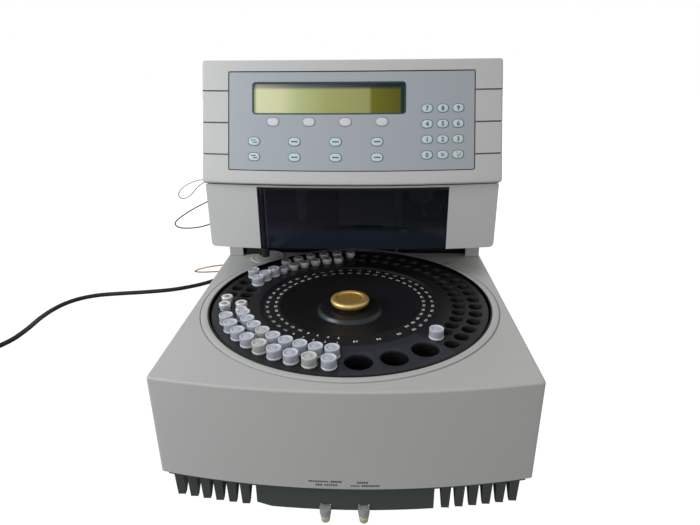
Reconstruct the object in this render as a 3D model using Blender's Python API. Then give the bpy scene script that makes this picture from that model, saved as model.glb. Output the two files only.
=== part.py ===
# Benchtop liquid autosampler: a turning tray of vials under a tilted keypad panel.
# Metres, +Z up, the front towards -Y, the origin under the middle of the footprint.
import math

import bmesh
import bpy
from mathutils import Matrix, Vector

# Whole instrument
WIDTH = 0.300
DEPTH = 0.575
HEIGHT = 0.360
SEAT_GAP = 0.0003
SLIDE_GAP = 0.0004
CUT_OVERRUN = 0.004
FRONT_Y = -DEPTH / 2
REAR_Y = DEPTH / 2
BOW_COLUMNS = 12
ROUTE_STEPS = 24

# Sample tray
TRAY_SIDE_INSET = 0.0165
TRAY_FRONT_INSET = 0.0210
TRAY_RADIUS = WIDTH / 2 - TRAY_SIDE_INSET
TRAY_Y = FRONT_Y + TRAY_FRONT_INSET + TRAY_RADIUS
TRAY_HEIGHT = 0.028
TRAY_WEB = 0.0042
TRAY_STEP = 0.0008
TRAY_STEP_WIDTH = 0.0016
DISH_RADIUS = 0.0400
DISH_DEPTH = 0.0105
HUB_RING_OUTER = 0.0355
HUB_RING_INNER = 0.0230
HUB_RING_DEPTH = 0.0075
TRAY_CENTRE_DEPTH = 0.0062
TRAY_EDGE_CHAMFER = 0.0012
TRAY_SIDES = 48
SOCKET_RADIUS = 0.0063
SOCKET_WEB = 0.0011
SOCKET_EDGE_WEB = 0.0065
SOCKET_RING_WEB = 0.0031
SOCKET_BAND_WEB = 0.0102
SOCKET_FLOOR = 0.003
SOCKET_DEPTH = TRAY_HEIGHT - SOCKET_FLOOR
SOCKET_SIDES = 7
SOCKET_OUTER_RING = TRAY_RADIUS - SOCKET_EDGE_WEB - SOCKET_RADIUS
SOCKET_INNER_RING = SOCKET_OUTER_RING - 2 * SOCKET_RADIUS - SOCKET_RING_WEB
POSITIONS = int(math.tau * SOCKET_INNER_RING / (2 * SOCKET_RADIUS + SOCKET_WEB))
WIDE_SOCKET_RADIUS = 0.01175
WIDE_EDGE_WEB = 0.00925
WIDE_SOCKET_RING = TRAY_RADIUS - WIDE_EDGE_WEB - WIDE_SOCKET_RADIUS
NUMBER_BAND_WIDTH = 0.0200
TRAY_RING_INNER = SOCKET_INNER_RING - SOCKET_RADIUS - SOCKET_BAND_WEB
NUMBER_BAND_INNER = TRAY_RING_INNER - NUMBER_BAND_WIDTH
WIDE_SOCKET_SIDES = 16
WIDE_SOCKETS = 3
WIDE_SOCKET_PLACES = 2
WIDE_GROUP_ANGLE = math.radians(20.5)
WIDE_GROUP_PLACES = 6

# Levels, from the pan's floor up through the drive and the tray to the cover's top
COVER_BOTTOM_Z = 0.0505
PAN_COVER_DROP = 0.0045
PAN_WALL = 0.003
PAN_FLOOR_Z = COVER_BOTTOM_Z - PAN_COVER_DROP
MOTOR_HEIGHT = 0.040
MOTOR_PINION_GAP = 0.0002
GEAR_WIDTH = 0.007
PINION_WIDTH = 0.009
MOTOR_TOP_Z = PAN_FLOOR_Z + PAN_WALL + SEAT_GAP + MOTOR_HEIGHT
GEAR_BOTTOM_Z = MOTOR_TOP_Z + MOTOR_PINION_GAP + (PINION_WIDTH - GEAR_WIDTH) / 2
BEARING_DEPTH = 0.019
BEARING_GEAR_DROP = 0.0055
BEARING_TOP_Z = GEAR_BOTTOM_Z - BEARING_GEAR_DROP
HUB_SHAFT_BOTTOM_Z = BEARING_TOP_Z - BEARING_DEPTH + SEAT_GAP
GEAR_LINER_GAP = 0.0130
LINER_FLOOR_Z = GEAR_BOTTOM_Z + GEAR_LINER_GAP
LINER_TRAY_GAP = 0.0080
TRAY_BOTTOM_Z = LINER_FLOOR_Z + LINER_TRAY_GAP
TRAY_TOP_Z = TRAY_BOTTOM_Z + TRAY_HEIGHT
TRAY_DROP = 0.0010
COVER_TOP_Z = TRAY_TOP_Z + TRAY_DROP

# Base cover
COVER_BOW = 0.016
COVER_WALL = 0.003
COVER_EDGE_RADIUS = 0.003
TRAY_TUCK = 0.0140
COVER_TUCK = 0.0110
CASING_FRONT_Y = TRAY_Y + TRAY_RADIUS - TRAY_TUCK
COVER_REAR_Y = CASING_FRONT_Y + COVER_TUCK
TRAY_RIM_GAP = 0.0008
LINER_WALL = 0.0019
WELL_RADIUS = TRAY_RADIUS + TRAY_RIM_GAP + LINER_WALL + SEAT_GAP
WELL_SIDES = 48
LIP_WIDTH = 0.0062
LIP_RISE = 0.0006
BOSS_RADIUS = 0.0205
BOSS_RISE = 0.0012
BOSS_X = -0.1016
BOSS_INSET = 0.0159

# Base pan
PAN_CLEARANCE = 0.0003
PAN_RIM_HEIGHT = 0.010
SKIRT_RECESS = 0.006
SKIRT_WALL = 0.003
SKIRT_HEIGHT = 0.0230
SKIRT_BOTTOM_Z = PAN_FLOOR_Z - SKIRT_HEIGHT
SKIRT_CORNER = 0.003
FIN_COUNT = 6
FIN_SIDE_INSET = 0.01255
FIN_PITCH = 0.01125
FIN_TOP_WIDTH = 0.0082
SKIRT_FIN_GAP = 0.0053
FIN_FIRST_X = WIDTH / 2 - FIN_SIDE_INSET - (FIN_COUNT - 1) * FIN_PITCH
SKIRT_HALF_WIDTH = FIN_FIRST_X - FIN_TOP_WIDTH / 2 - SKIRT_FIN_GAP
FIN_BOTTOM_WIDTH = 0.0062
FIN_TOP_DEPTH = 0.024
FIN_BOTTOM_DEPTH = 0.0035
SIDE_SKIRT_INSET = 0.0625
SIDE_SKIRT_FRONT_Y = FRONT_Y + SIDE_SKIRT_INSET
SIDE_SKIRT_WALL = 0.005
FOOT_RADIUS = 0.013
FOOT_SIDES = 14
FOOT_INSET_X = 0.030
FOOT_FRONT_INSET = 0.1025
FOOT_REAR_INSET = 0.0425
FOOT_FRONT_Y = FRONT_Y + FOOT_FRONT_INSET
FOOT_REAR_Y = REAR_Y - FOOT_REAR_INSET
BEARING_RADIUS = 0.012

# Drain nozzles
NOZZLE_X = 0.0155
NOZZLE_DROP_Y = 0.0045
NOZZLE_PIPE_RADIUS = 0.0031
NOZZLE_BARB_RADIUS = 0.0045
NOZZLE_TIP_RADIUS = 0.0036
NOZZLE_NECK_RADIUS = 0.0032
NOZZLE_BORE_RADIUS = 0.0020
NOZZLE_LEG_Z = 0.0245
NOZZLE_END_Z = 0.0140
NOZZLE_BACK = 0.016
NOZZLE_BARBS = 2
NOZZLE_SIDES = 10
NOTCH_CLEARANCE = 0.0012

# Hub, gear, pinion and motor
HUB_SHAFT_RADIUS = 0.006
HUB_SHAFT_CLEARANCE = 0.0003
GEAR_MODULE = 0.0015
GEAR_TEETH = 40
PINION_TEETH = 10
TOOTH_GAP_SHARE = 0.06
TOOTH_TIP_MODULES = 0.9
TOOTH_ROOT_MODULES = 1.25
TOOTH_TIP_HALF_SHARE = 0.14
TOOTH_ROOT_HALF_SHARE = 0.36
HUB_NECK_RADIUS = 0.012
HUB_FLANGE_RADIUS = 0.030
HUB_FLANGE_THICKNESS = 0.004
HUB_SPIGOT_RADIUS = 0.005
MOTOR_RADIUS = 0.018
MOTOR_SHAFT_RADIUS = 0.0025
MOTOR_SHAFT_DEPTH = 0.010
MOTOR_DIRECTION = math.radians(45)

# Well liner
LINER_FLOOR = 0.0025
LINER_TOP_DROP = 0.0005
LINER_HUB_CLEARANCE = 0.0015
LINER_HUB_COLLAR = 0.002

# Tray knob
KNOB_RADIUS = 0.019
KNOB_TOP_RISE = 0.002
KNOB_THICKNESS = 0.0056
KNOB_NECK_RADIUS = 0.0115
KNOB_DISH_RADIUS = 0.0135
KNOB_DISH_DEPTH = 0.0014
KNOB_EDGE = 0.0011
KNOB_SIDES = 24

# Rear casing
CASING_SIDE_INSET = 0.002
CASING_TOP_DROP = 0.0075
CASING_HALF_WIDTH = WIDTH / 2 - CASING_SIDE_INSET
CASING_WALL = 0.0025
CASING_TOP_Z = HEIGHT - CASING_TOP_DROP
CASING_EDGE_RADIUS = 0.004
POST_WIDTH = 0.016
VENT_COUNT = 5
VENT_LENGTH = 0.060
VENT_HEIGHT = 0.004
VENT_PITCH = 0.012
VENT_FIRST_Z = 0.100
VENT_REAR_INSET = 0.040

# Front housing: the cheeks beside the door and the neck behind the panel
CHEEK_BOW = 0.012
CHEEK_DEPTH = 0.066
CHEEK_CLEARANCE = 0.036
CHEEK_CORNER_Y = CASING_FRONT_Y - CHEEK_DEPTH
CHEEK_BOTTOM_Z = COVER_TOP_Z + CHEEK_CLEARANCE
CHEEK_TOP_DROP = 0.0024
CHEEK_CORNER_RADIUS = 0.0045
HOUSING_WALL = 0.003
LEFT_CHEEK_WIDTH = 0.0550
RIGHT_CHEEK_WIDTH = 0.0515
DOOR_LEFT_X = LEFT_CHEEK_WIDTH - CASING_HALF_WIDTH
DOOR_RIGHT_X = CASING_HALF_WIDTH - RIGHT_CHEEK_WIDTH
DOOR_SIDE_GAP = 0.0015
DOOR_TOP_GAP = 0.0006
DOOR_RISE = 0.0005
DOOR_TOP_DROP = 0.0050
DOOR_THICKNESS = 0.003
DOOR_RECESS = 0.0008
DOOR_BARREL_RADIUS = 0.0027
DOOR_BORE_RADIUS = 0.0015
HINGE_PIN_RADIUS = 0.0011
HINGE_KNUCKLE_RADIUS = 0.0042
HINGE_KNUCKLE_HEIGHT = 0.0095
HINGE_TAB_HEIGHT = 0.022
HINGE_TAB_WIDTH = 0.016
HINGE_TAB_THICKNESS = 0.0025

# Panel bezel
PANEL_TILT = math.radians(20.7)
PANEL_BOW = 0.014
PANEL_OVERHANG = 0.00374
PANEL_FOOT_Y = CHEEK_CORNER_Y - PANEL_OVERHANG
PANEL_HEIGHT = 0.1222
BEZEL_DEPTH = 0.020
BEZEL_CORNER_RADIUS = 0.0028
BEZEL_EDGE_RADIUS = 0.0018
BEZEL_WALL = 0.003
PANEL_FOOT_Z = HEIGHT - PANEL_HEIGHT * math.cos(PANEL_TILT) + BEZEL_EDGE_RADIUS * math.sin(PANEL_TILT)
GROOVE_HEIGHT = 0.0016
GROOVE_DEPTH = 0.0014
GROOVE_LOW = 0.0285
GROOVE_PITCH = 0.0315
GROOVES = 3
OVERLAY_SIDE_MARGIN = 0.0282
OVERLAY_TOP_MARGIN = 0.0117
OVERLAY_HALF_WIDTH = WIDTH / 2 - OVERLAY_SIDE_MARGIN
OVERLAY_LOW = 0.0135
OVERLAY_HIGH = PANEL_HEIGHT - OVERLAY_TOP_MARGIN
OVERLAY_THICKNESS = 0.0010
OVERLAY_SINK = 0.0004
OVERLAY_CORNER = 0.0020
OVERLAY_EDGE_GAP = 0.0003
SCREEN_LEFT_INSET = 0.0268
SCREEN_RIGHT_INSET = 0.0708
SCREEN_TOP_INSET = 0.0115
SCREEN_HEIGHT = 0.0280
SCREEN_LEFT = SCREEN_LEFT_INSET - OVERLAY_HALF_WIDTH
SCREEN_RIGHT = OVERLAY_HALF_WIDTH - SCREEN_RIGHT_INSET
SCREEN_HIGH = OVERLAY_HIGH - SCREEN_TOP_INSET
SCREEN_LOW = SCREEN_HIGH - SCREEN_HEIGHT
SCREEN_OVERLAP = 0.0045
SCREEN_THICKNESS = 0.0075

# Keys
KEY_TRAVEL = 0.0004
KEY_RISE = 0.0008
KEY_CLEARANCE = 0.00035
KEY_POINTS = 8
KEY_SQUARENESS = 2.8
SOFT_KEY_WIDTH = 0.0122
SOFT_KEY_HEIGHT = 0.0086
SOFT_KEYS = 4
SOFT_KEY_LEFT_INSET = 0.0185
SOFT_KEY_RIGHT_INSET = 0.0204
SOFT_KEY_DROP = 0.0095
SOFT_KEY_FIRST = SCREEN_LEFT + SOFT_KEY_LEFT_INSET
SOFT_KEY_PITCH = (SCREEN_RIGHT - SOFT_KEY_RIGHT_INSET - SOFT_KEY_FIRST) / (SOFT_KEYS - 1)
SOFT_KEY_LEVEL = SCREEN_LOW - SOFT_KEY_DROP
FUNCTION_KEY_WIDTH = 0.0120
FUNCTION_KEY_HEIGHT = 0.0086
FUNCTION_KEY_COLUMNS = 4
FUNCTION_KEY_LEFT_INSET = 0.0262
FUNCTION_KEY_RIGHT_INSET = 0.0251
FUNCTION_KEY_DROP = 0.0194
FUNCTION_KEY_STEP = 0.0152
FUNCTION_KEY_FIRST = FUNCTION_KEY_LEFT_INSET - OVERLAY_HALF_WIDTH
FUNCTION_KEY_LAST = SCREEN_RIGHT - FUNCTION_KEY_RIGHT_INSET
FUNCTION_KEY_PITCH = (FUNCTION_KEY_LAST - FUNCTION_KEY_FIRST) / (FUNCTION_KEY_COLUMNS - 1)
FUNCTION_KEY_LEVEL = SOFT_KEY_LEVEL - FUNCTION_KEY_DROP
NUMBER_KEY_WIDTH = 0.0114
NUMBER_KEY_HEIGHT = 0.0083
NUMBER_KEY_PITCH = 0.0153
NUMBER_KEY_STEP = 0.0151
NUMBER_KEY_RIGHT_INSET = 0.0166
NUMBER_KEY_TOP_INSET = 0.0366
NUMBER_KEY_FIRST = OVERLAY_HALF_WIDTH - NUMBER_KEY_RIGHT_INSET - 2 * NUMBER_KEY_PITCH
NUMBER_KEY_LEVEL = OVERLAY_HIGH - NUMBER_KEY_TOP_INSET
NUMBER_KEY_ROWS = (("7", "8", "9"), ("4", "5", "6"), ("1", "2", "3"), ("0", "clear", "enter"))

# Mechanism frame, needle arm, slider and needle
BULKHEAD_SETBACK = 0.0235
BULKHEAD_TOP_GAP = 0.0125
BULKHEAD_Y = CASING_FRONT_Y + BULKHEAD_SETBACK
BULKHEAD_WALL = 0.0025
BULKHEAD_TOP_Z = CASING_TOP_Z - BULKHEAD_TOP_GAP
BULKHEAD_SIDE_GAP = 0.0010
BEAM_LEFT_INSET = 0.053
BEAM_RIGHT_INSET = 0.013
BEAM_LEFT_X = BEAM_LEFT_INSET - CASING_HALF_WIDTH
BEAM_RIGHT_X = CASING_HALF_WIDTH - BEAM_RIGHT_INSET
BEAM_DEPTH = 0.020
BEAM_RISE = 0.0695
BEAM_BOTTOM_Z = CHEEK_BOTTOM_Z + BEAM_RISE
BEAM_HEIGHT = 0.016
NEEDLE_ANGLE = math.radians(28.25)
NEEDLE_X = SOCKET_INNER_RING * math.sin(NEEDLE_ANGLE)
NEEDLE_Y = TRAY_Y + SOCKET_INNER_RING * math.cos(NEEDLE_ANGLE)
PORT_RADIUS = 0.0040
PORT_WELL_GAP = 0.0020
PORT_RING = WELL_RADIUS + PORT_WELL_GAP + PORT_RADIUS
PORT_X = math.sqrt(PORT_RING**2 - (NEEDLE_Y - TRAY_Y) ** 2)
ARM_WIDTH = 0.060
ARM_NEEDLE_OFFSET = 0.0052
ARM_DROP = 0.064
ARM_BOTTOM_Z = BEAM_BOTTOM_Z - ARM_DROP
ARM_THICKNESS = 0.014
ARM_HOOK = 0.005
ARM_HOOK_REACH = 0.012
SLIDER_WIDTH = 0.011
SLIDER_DEPTH = 0.014
SLIDER_DROP = 0.041
SLIDER_BOTTOM_Z = BEAM_BOTTOM_Z - SLIDER_DROP
SLIDER_HEIGHT = 0.030
NEEDLE_RADIUS = 0.00075
NEEDLE_CLEARANCE = 0.0147
NEEDLE_TIP_Z = COVER_TOP_Z + NEEDLE_CLEARANCE
NEEDLE_STROKE = 0.0355
NEEDLE_COLLAR_RADIUS = 0.0022
NEEDLE_COLLAR_HEIGHT = 0.006
PORT_BORE_RADIUS = 0.0016
PORT_RISE = 0.008
PORT_FLOOR = 0.0018

# Injection valve and its rotor
VALVE_X = 0.079
VALVE_DROP = 0.0290
VALVE_Z = BEAM_BOTTOM_Z - VALVE_DROP
VALVE_RADIUS = 0.0165
VALVE_THICKNESS = 0.0105
VALVE_PORTS = 6
VALVE_PORT_RADIUS = 0.0026
VALVE_PORT_LENGTH = 0.0075
VALVE_PORT_RING = 0.0105
ROTOR_RADIUS = 0.011
ROTOR_THICKNESS = 0.016
ROTOR_LEVER = 0.022
ROTOR_LEVER_WIDTH = 0.006
ROTOR_SHAFT_RADIUS = 0.003
ROTOR_SHAFT_CLEARANCE = 0.0003

# Syringe
SYRINGE_X = -0.058
SYRINGE_REACH = 0.0280
SYRINGE_DROP = 0.060
SYRINGE_Y = BULKHEAD_Y - SYRINGE_REACH
SYRINGE_BOTTOM_Z = BEAM_BOTTOM_Z - SYRINGE_DROP
SYRINGE_LENGTH = 0.058
SYRINGE_RADIUS = 0.0070
SYRINGE_BORE = 0.0052
SYRINGE_BASE = 0.006
PLUNGER_STROKE = 0.040
PLUNGER_RADIUS = 0.0049
PLUNGER_HEAD = 0.006
PLUNGER_ROD_RADIUS = 0.0022
PLUNGER_GRIP_RADIUS = 0.0060
PLUNGER_GRIP = 0.003
CLAMP_WIDTH = 0.018
CLAMP_HEIGHT = 0.008
CLAMP_LOW_RISE = 0.010
CLAMP_HIGH_RISE = 0.040
CLAMP_LOW_Z = SYRINGE_BOTTOM_Z + CLAMP_LOW_RISE
CLAMP_HIGH_Z = SYRINGE_BOTTOM_Z + CLAMP_HIGH_RISE

# Rear panel, fan, inlet and switch
REAR_PANEL_INSET = 0.002
REAR_PANEL_WALL = 0.002
REAR_PANEL_EDGE_GAP = 0.0003
FAN_X = 0.060
FAN_Z = 0.240
FAN_OPENING = 0.037
FAN_RINGS = 2
FAN_RING_SIDES = 20
FAN_BAR = 0.0022
FAN_PIN_RADIUS = 0.0020
FAN_PIN_LENGTH = 0.012
FAN_HUB_RADIUS = 0.013
FAN_HUB_DEPTH = 0.014
FAN_TIP_RADIUS = 0.034
FAN_BLADES = 7
FAN_BLADE_TWIST = math.radians(32)
FAN_BLADE_WALL = 0.0015
FAN_BLADE_ROOT = 0.0105
FAN_BLADE_DEPTH = 0.0126
FAN_ROOT_SWEEP = 0.95
FAN_TIP_SWEEP = 1.5
INLET_X = -0.100
INLET_Z = 0.085
INLET_WIDTH = 0.028
INLET_HEIGHT = 0.021
INLET_DEPTH = 0.022
INLET_RECESS = 0.016
INLET_WALL = 0.0022
INLET_FLANGE = 0.004
INLET_FLANGE_THICKNESS = 0.0014
SWITCH_X = -0.055
SWITCH_WIDTH = 0.013
SWITCH_HEIGHT = 0.019
SWITCH_DEPTH = 0.010
SWITCH_EDGE_GAP = 0.0005
SWITCH_FACE_TILT = 0.0012
SWITCH_TAPER = 0.002

# Mains lead, its connector, coil and plug
LEAD_RADIUS = 0.00325
LEAD_BEND_SIDES = 2
CONNECTOR_WIDTH = 0.0225
CONNECTOR_HEIGHT = 0.0155
CONNECTOR_LENGTH = 0.030
RELIEF_LENGTH = 0.028
RELIEF_ROOT_RADIUS = 0.0065
RELIEF_TIP_RADIUS = 0.0045
LEAD_ROUTE = (
    (-0.1000, 0.3500, 0.0850), (-0.1000, 0.3570, 0.0850), (-0.1025, 0.3800, 0.0770),
    (-0.1130, 0.4000, 0.0550), (-0.1300, 0.4070, 0.0290), (-0.1500, 0.3960, 0.0110),
    (-0.1710, 0.3700, 0.0042), (-0.1900, 0.3330, 0.0034), (-0.2080, 0.2900, 0.0034),
    (-0.2280, 0.2500, 0.0034), (-0.2514, 0.2190, 0.0034), (-0.2750, 0.2005, 0.0034),
    (-0.3050, 0.1855, 0.0034), (-0.3438, 0.1757, 0.0034), (-0.3871, 0.1684, 0.0034),
    (-0.4170, 0.1620, 0.0034), (-0.4400, 0.1500, 0.0034), (-0.4555, 0.1320, 0.0034),
    (-0.4640, 0.1090, 0.0034), (-0.4675, 0.0820, 0.0034), (-0.4670, 0.0500, 0.0034),
    (-0.4694, 0.0208, 0.0034), (-0.4770, 0.0010, 0.0034), (-0.4880, -0.0180, 0.0034),
    (-0.5000, -0.0380, 0.0034), (-0.5080, -0.0515, 0.0034),
)
LEAD_POINTS = 42
LEAD_REST_Z = 0.0034
COIL_TURNS = 3
COIL_TURN_POINTS = 24
COIL_MIDDLE_RADIUS = 0.0370
COIL_TAIL = 0.036
COIL_PITCH = 0.0073
COIL_LAYER = 0.0071
PLUG_LENGTH = 0.030
PLUG_WIDTH = 0.025
PLUG_HEIGHT = 0.0204
PLUG_WAIST = 0.62
BLADE_LENGTH = 0.017
BLADE_WIDTH = 0.0064
BLADE_THICKNESS = 0.0016
BLADE_SPACING = 0.0127

# Capillaries at the left side
CAPILLARY_RADIUS = 0.0008
COLLAR_RADIUS = 0.0028
COLLAR_LENGTH = 0.0017
COLLAR_SIDES = 8
CLEAR_ROUTE = (
    (-0.1500, 0.0010, 0.2310), (-0.1560, 0.0010, 0.2311), (-0.1650, 0.0008, 0.2309),
    (-0.1776, 0.0000, 0.2296), (-0.1870, -0.0004, 0.2272), (-0.1960, -0.0006, 0.2232),
    (-0.2035, -0.0004, 0.2172), (-0.2063, 0.0000, 0.2112), (-0.2036, 0.0012, 0.2070),
    (-0.1985, 0.0026, 0.2072), (-0.1915, 0.0040, 0.2120), (-0.1850, 0.0052, 0.2190),
    (-0.1780, 0.0062, 0.2240), (-0.1680, 0.0070, 0.2262), (-0.1560, 0.0072, 0.2265),
    (-0.1500, 0.0072, 0.2265),
)
DARK_ROUTE = (
    (-0.1500, -0.0040, 0.2090), (-0.1560, -0.0040, 0.2089), (-0.1660, -0.0044, 0.2068),
    (-0.1760, -0.0050, 0.2024), (-0.1870, -0.0056, 0.1970), (-0.1990, -0.0060, 0.1900),
    (-0.2090, -0.0060, 0.1830), (-0.2130, -0.0056, 0.1772), (-0.2090, -0.0048, 0.1728),
    (-0.2000, -0.0040, 0.1716), (-0.1880, -0.0030, 0.1722), (-0.1760, -0.0018, 0.1748),
    (-0.1650, -0.0006, 0.1790), (-0.1560, 0.0000, 0.1806), (-0.1500, 0.0000, 0.1806),
)
AMBER_ROUTE = (
    (-0.1500, 0.0200, 0.1150), (-0.1560, 0.0200, 0.1150), (-0.1650, 0.0200, 0.1146),
    (-0.1760, 0.0202, 0.1134), (-0.1880, 0.0208, 0.1112), (-0.1990, 0.0220, 0.1080),
    (-0.2060, 0.0240, 0.1046), (-0.2066, 0.0275, 0.1018), (-0.2000, 0.0300, 0.1002),
    (-0.1880, 0.0310, 0.1002), (-0.1750, 0.0310, 0.1010), (-0.1640, 0.0310, 0.1020),
    (-0.1560, 0.0310, 0.1024), (-0.1500, 0.0310, 0.1024),
)
CAPILLARY_POINTS = 25
ROUTE_SIDE_X = -0.148
ROUTE_FRONT_Y = -0.0135


def clear_scene():
    for item in list(bpy.data.objects):
        bpy.data.objects.remove(item)


def finish(name, colour, roughness, metallic=0.0, alpha=1.0):
    """A Principled material."""
    material = bpy.data.materials.new(name)
    material.use_nodes = True
    shader = material.node_tree.nodes["Principled BSDF"]
    shader.inputs["Base Color"].default_value = (*colour, 1.0)
    shader.inputs["Roughness"].default_value = roughness
    shader.inputs["Metallic"].default_value = metallic
    shader.inputs["Alpha"].default_value = alpha
    return material


def add_piece(name, shape, material, pivot=(0.0, 0.0, 0.0)):
    """Puts a finished bmesh in the scene, with its origin on its pivot."""
    bmesh.ops.recalc_face_normals(shape, faces=shape.faces)
    bmesh.ops.translate(shape, verts=shape.verts, vec=-Vector(pivot))
    mesh = bpy.data.meshes.new(name)
    shape.to_mesh(mesh)
    shape.free()
    if material:
        mesh.materials.append(material)
    mesh.shade_smooth()
    mesh.set_sharp_from_angle(angle=math.radians(32))
    piece = bpy.data.objects.new(name, mesh)
    piece.location = pivot
    bpy.context.scene.collection.objects.link(piece)
    return piece


def combine(piece, shape, operation):
    """Cuts a shape from a piece or joins it, as a live Boolean."""
    tool = add_piece(piece.name + "_tool", shape, None)
    tool.hide_render = True
    tool.display_type = "WIRE"
    step = piece.modifiers.new(tool.name, "BOOLEAN")
    step.operation = operation
    step.object = tool
    return tool


def cut(piece, shape):
    return combine(piece, shape, "DIFFERENCE")


def join(piece, shape):
    return combine(piece, shape, "UNION")


def round_edges(piece, width, segments=2, angle=40):
    step = piece.modifiers.new("edges", "BEVEL")
    step.width = width
    step.segments = segments
    step.limit_method = "ANGLE"
    step.angle_limit = math.radians(angle)


def loft(sections, closed=False):
    """A closed body through equal rings of points; open lofts get end caps."""
    shape = bmesh.new()
    rings = [[shape.verts.new(point) for point in section] for section in sections]
    count = len(rings[0])
    pairs = list(zip(rings, rings[1:]))
    if closed:
        pairs.append((rings[-1], rings[0]))
    for low, high in pairs:
        for i in range(count):
            j = (i + 1) % count
            shape.faces.new((low[i], low[j], high[j], high[i]))
    if not closed:
        shape.faces.new(reversed(rings[0]))
        shape.faces.new(rings[-1])
    return shape


def block(low, high):
    (x0, y0, z0), (x1, y1, z1) = low, high
    foot = [(x0, y0), (x1, y0), (x1, y1), (x0, y1)]
    return loft([[(x, y, z) for x, y in foot] for z in (z0, z1)])


def upright(outline, low, high):
    """An outline in plan, raised from low to high."""
    return loft([[(x, y, z) for x, y in outline] for z in (low, high)])


def crosswise(outline, low, high):
    """An outline in Y and Z, carried along X."""
    return loft([[(x, y, z) for y, z in outline] for x in (low, high)])


def turned(profile, centre, sides, axis="Z"):
    """A profile of radius and height turned about an axis; a zero radius is a pole."""
    shape = bmesh.new()

    def place(radius, height, angle):
        across, along = radius * math.cos(angle), radius * math.sin(angle)
        if axis == "Z":
            offset = (across, along, height)
        elif axis == "Y":
            offset = (across, height, along)
        else:
            offset = (height, across, along)
        return Vector(centre) + Vector(offset)

    rings = []
    for radius, height in profile:
        count = sides if radius > 0 else 1
        rings.append([shape.verts.new(place(radius, height, math.tau * i / sides)) for i in range(count)])
    for low, high in zip(rings, rings[1:] + rings[:1]):
        if len(low) == len(high) == 1:
            continue
        for i in range(sides):
            j = (i + 1) % sides
            corners = [low[i % len(low)], low[j % len(low)], high[j % len(high)], high[i % len(high)]]
            face = [corner for k, corner in enumerate(corners) if corner is not corners[k - 1]]
            shape.faces.new(face)
    return shape


def rod(radius, centre, low, high, sides, axis="Z"):
    return turned([(0.0, low), (radius, low), (radius, high), (0.0, high)], centre, sides, axis)


def lengthwise(outline, low, high):
    """An outline in X and Z, carried along Y."""
    return loft([[(x, y, z) for x, z in outline] for y in (low, high)])


def gather(shapes):
    """Several separate bodies in one mesh, for a single cut."""
    whole = bmesh.new()
    for shape in shapes:
        mesh = bpy.data.meshes.new("part")
        bmesh.ops.recalc_face_normals(shape, faces=shape.faces)
        shape.to_mesh(mesh)
        shape.free()
        whole.from_mesh(mesh)
        bpy.data.meshes.remove(mesh)
    return whole


def columns(low, high, count):
    return [low + (high - low) * i / count for i in range(count + 1)]


def bow(x, half_width, depth):
    """How far a bowed front stands ahead of its corners at x."""
    return depth * (1 - (x / half_width) ** 2)


def bowed_outline(half_width, corner_y, rear_y, depth, half_span):
    front = [(x, corner_y - bow(x, half_span, depth)) for x in columns(-half_width, half_width, BOW_COLUMNS)]
    return front + [(half_width, rear_y), (-half_width, rear_y)]


def smooth_route(points, count):
    """Even points on a smooth curve through hand-set ones, whose first and last runs stay straight."""
    knots = [Vector(point) for point in points]
    dense = []
    for before, start, stop, after in zip(knots, knots[1:], knots[2:], knots[3:]):
        for i in range(ROUTE_STEPS):
            t = i / ROUTE_STEPS
            linear = (stop - before) * t
            square = (2 * before - 5 * start + 4 * stop - after) * t**2
            cubic = (3 * start - before - 3 * stop + after) * t**3
            dense.append(start + (linear + square + cubic) / 2)
    dense.append(knots[-2])
    lengths = [0.0]
    for a, b in zip(dense, dense[1:]):
        lengths.append(lengths[-1] + (b - a).length)
    route, index = [knots[0]], 0
    for i in range(count):
        goal = lengths[-1] * i / (count - 1)
        while index < len(dense) - 2 and lengths[index + 1] < goal:
            index += 1
        share = (goal - lengths[index]) / (lengths[index + 1] - lengths[index])
        route.append(dense[index].lerp(dense[index + 1], share))
    route.append(knots[-1])
    length = lengths[-1] + (knots[1] - knots[0]).length + (knots[-1] - knots[-2]).length
    return route, length


def tube(name, points, radius, material, resolution):
    """A round cord along points, as a bevelled curve with filled caps."""
    curve = bpy.data.curves.new(name, "CURVE")
    curve.dimensions = "3D"
    curve.bevel_depth = radius
    curve.bevel_resolution = resolution
    curve.use_fill_caps = True
    spline = curve.splines.new("POLY")
    spline.points.add(len(points) - 1)
    for knot, point in zip(spline.points, points):
        knot.co = (*point, 1.0)
    curve.materials.append(material)
    piece = bpy.data.objects.new(name, curve)
    bpy.context.scene.collection.objects.link(piece)
    return piece


def panel_point(x, level, rise, bowed=True):
    """A place on the tilted panel: x across, level up its slope, rise out of its face."""
    y = PANEL_FOOT_Y + level * math.sin(PANEL_TILT) - rise * math.cos(PANEL_TILT)
    if bowed:
        y -= bow(x, WIDTH / 2, PANEL_BOW)
    z = PANEL_FOOT_Z + level * math.cos(PANEL_TILT) + rise * math.sin(PANEL_TILT)
    return (x, y, z)


def rounded_span(x, low_x, high_x, low, high, radius):
    """The two ends of a column at x in a rectangle with round corners."""
    inside = min(x - low_x, high_x - x)
    if inside >= radius:
        return low, high
    drop = radius - math.sqrt(max(radius**2 - (radius - inside) ** 2, 0.0))
    return low + drop, high - drop


def panel_slab(low_x, high_x, low, high, front, back, radius=0.0, flat_back=False, count=BOW_COLUMNS):
    """A plate that follows the panel's bow, between two rises off its face."""
    xs = columns(low_x, high_x, count)
    if radius > 0:
        turns = [radius * (1 - math.cos(math.pi / 2 * i / 3)) for i in range(4)]
        middle = columns(low_x + radius, high_x - radius, count)
        xs = [low_x + t for t in turns] + middle[1:-1] + [high_x - t for t in reversed(turns)]
    sections = []
    for x in xs:
        foot, head = rounded_span(x, low_x, high_x, low, high, radius)
        sections.append([
            panel_point(x, foot, front),
            panel_point(x, head, front),
            panel_point(x, head, back, not flat_back),
            panel_point(x, foot, back, not flat_back),
        ])
    return loft(sections)


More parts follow.
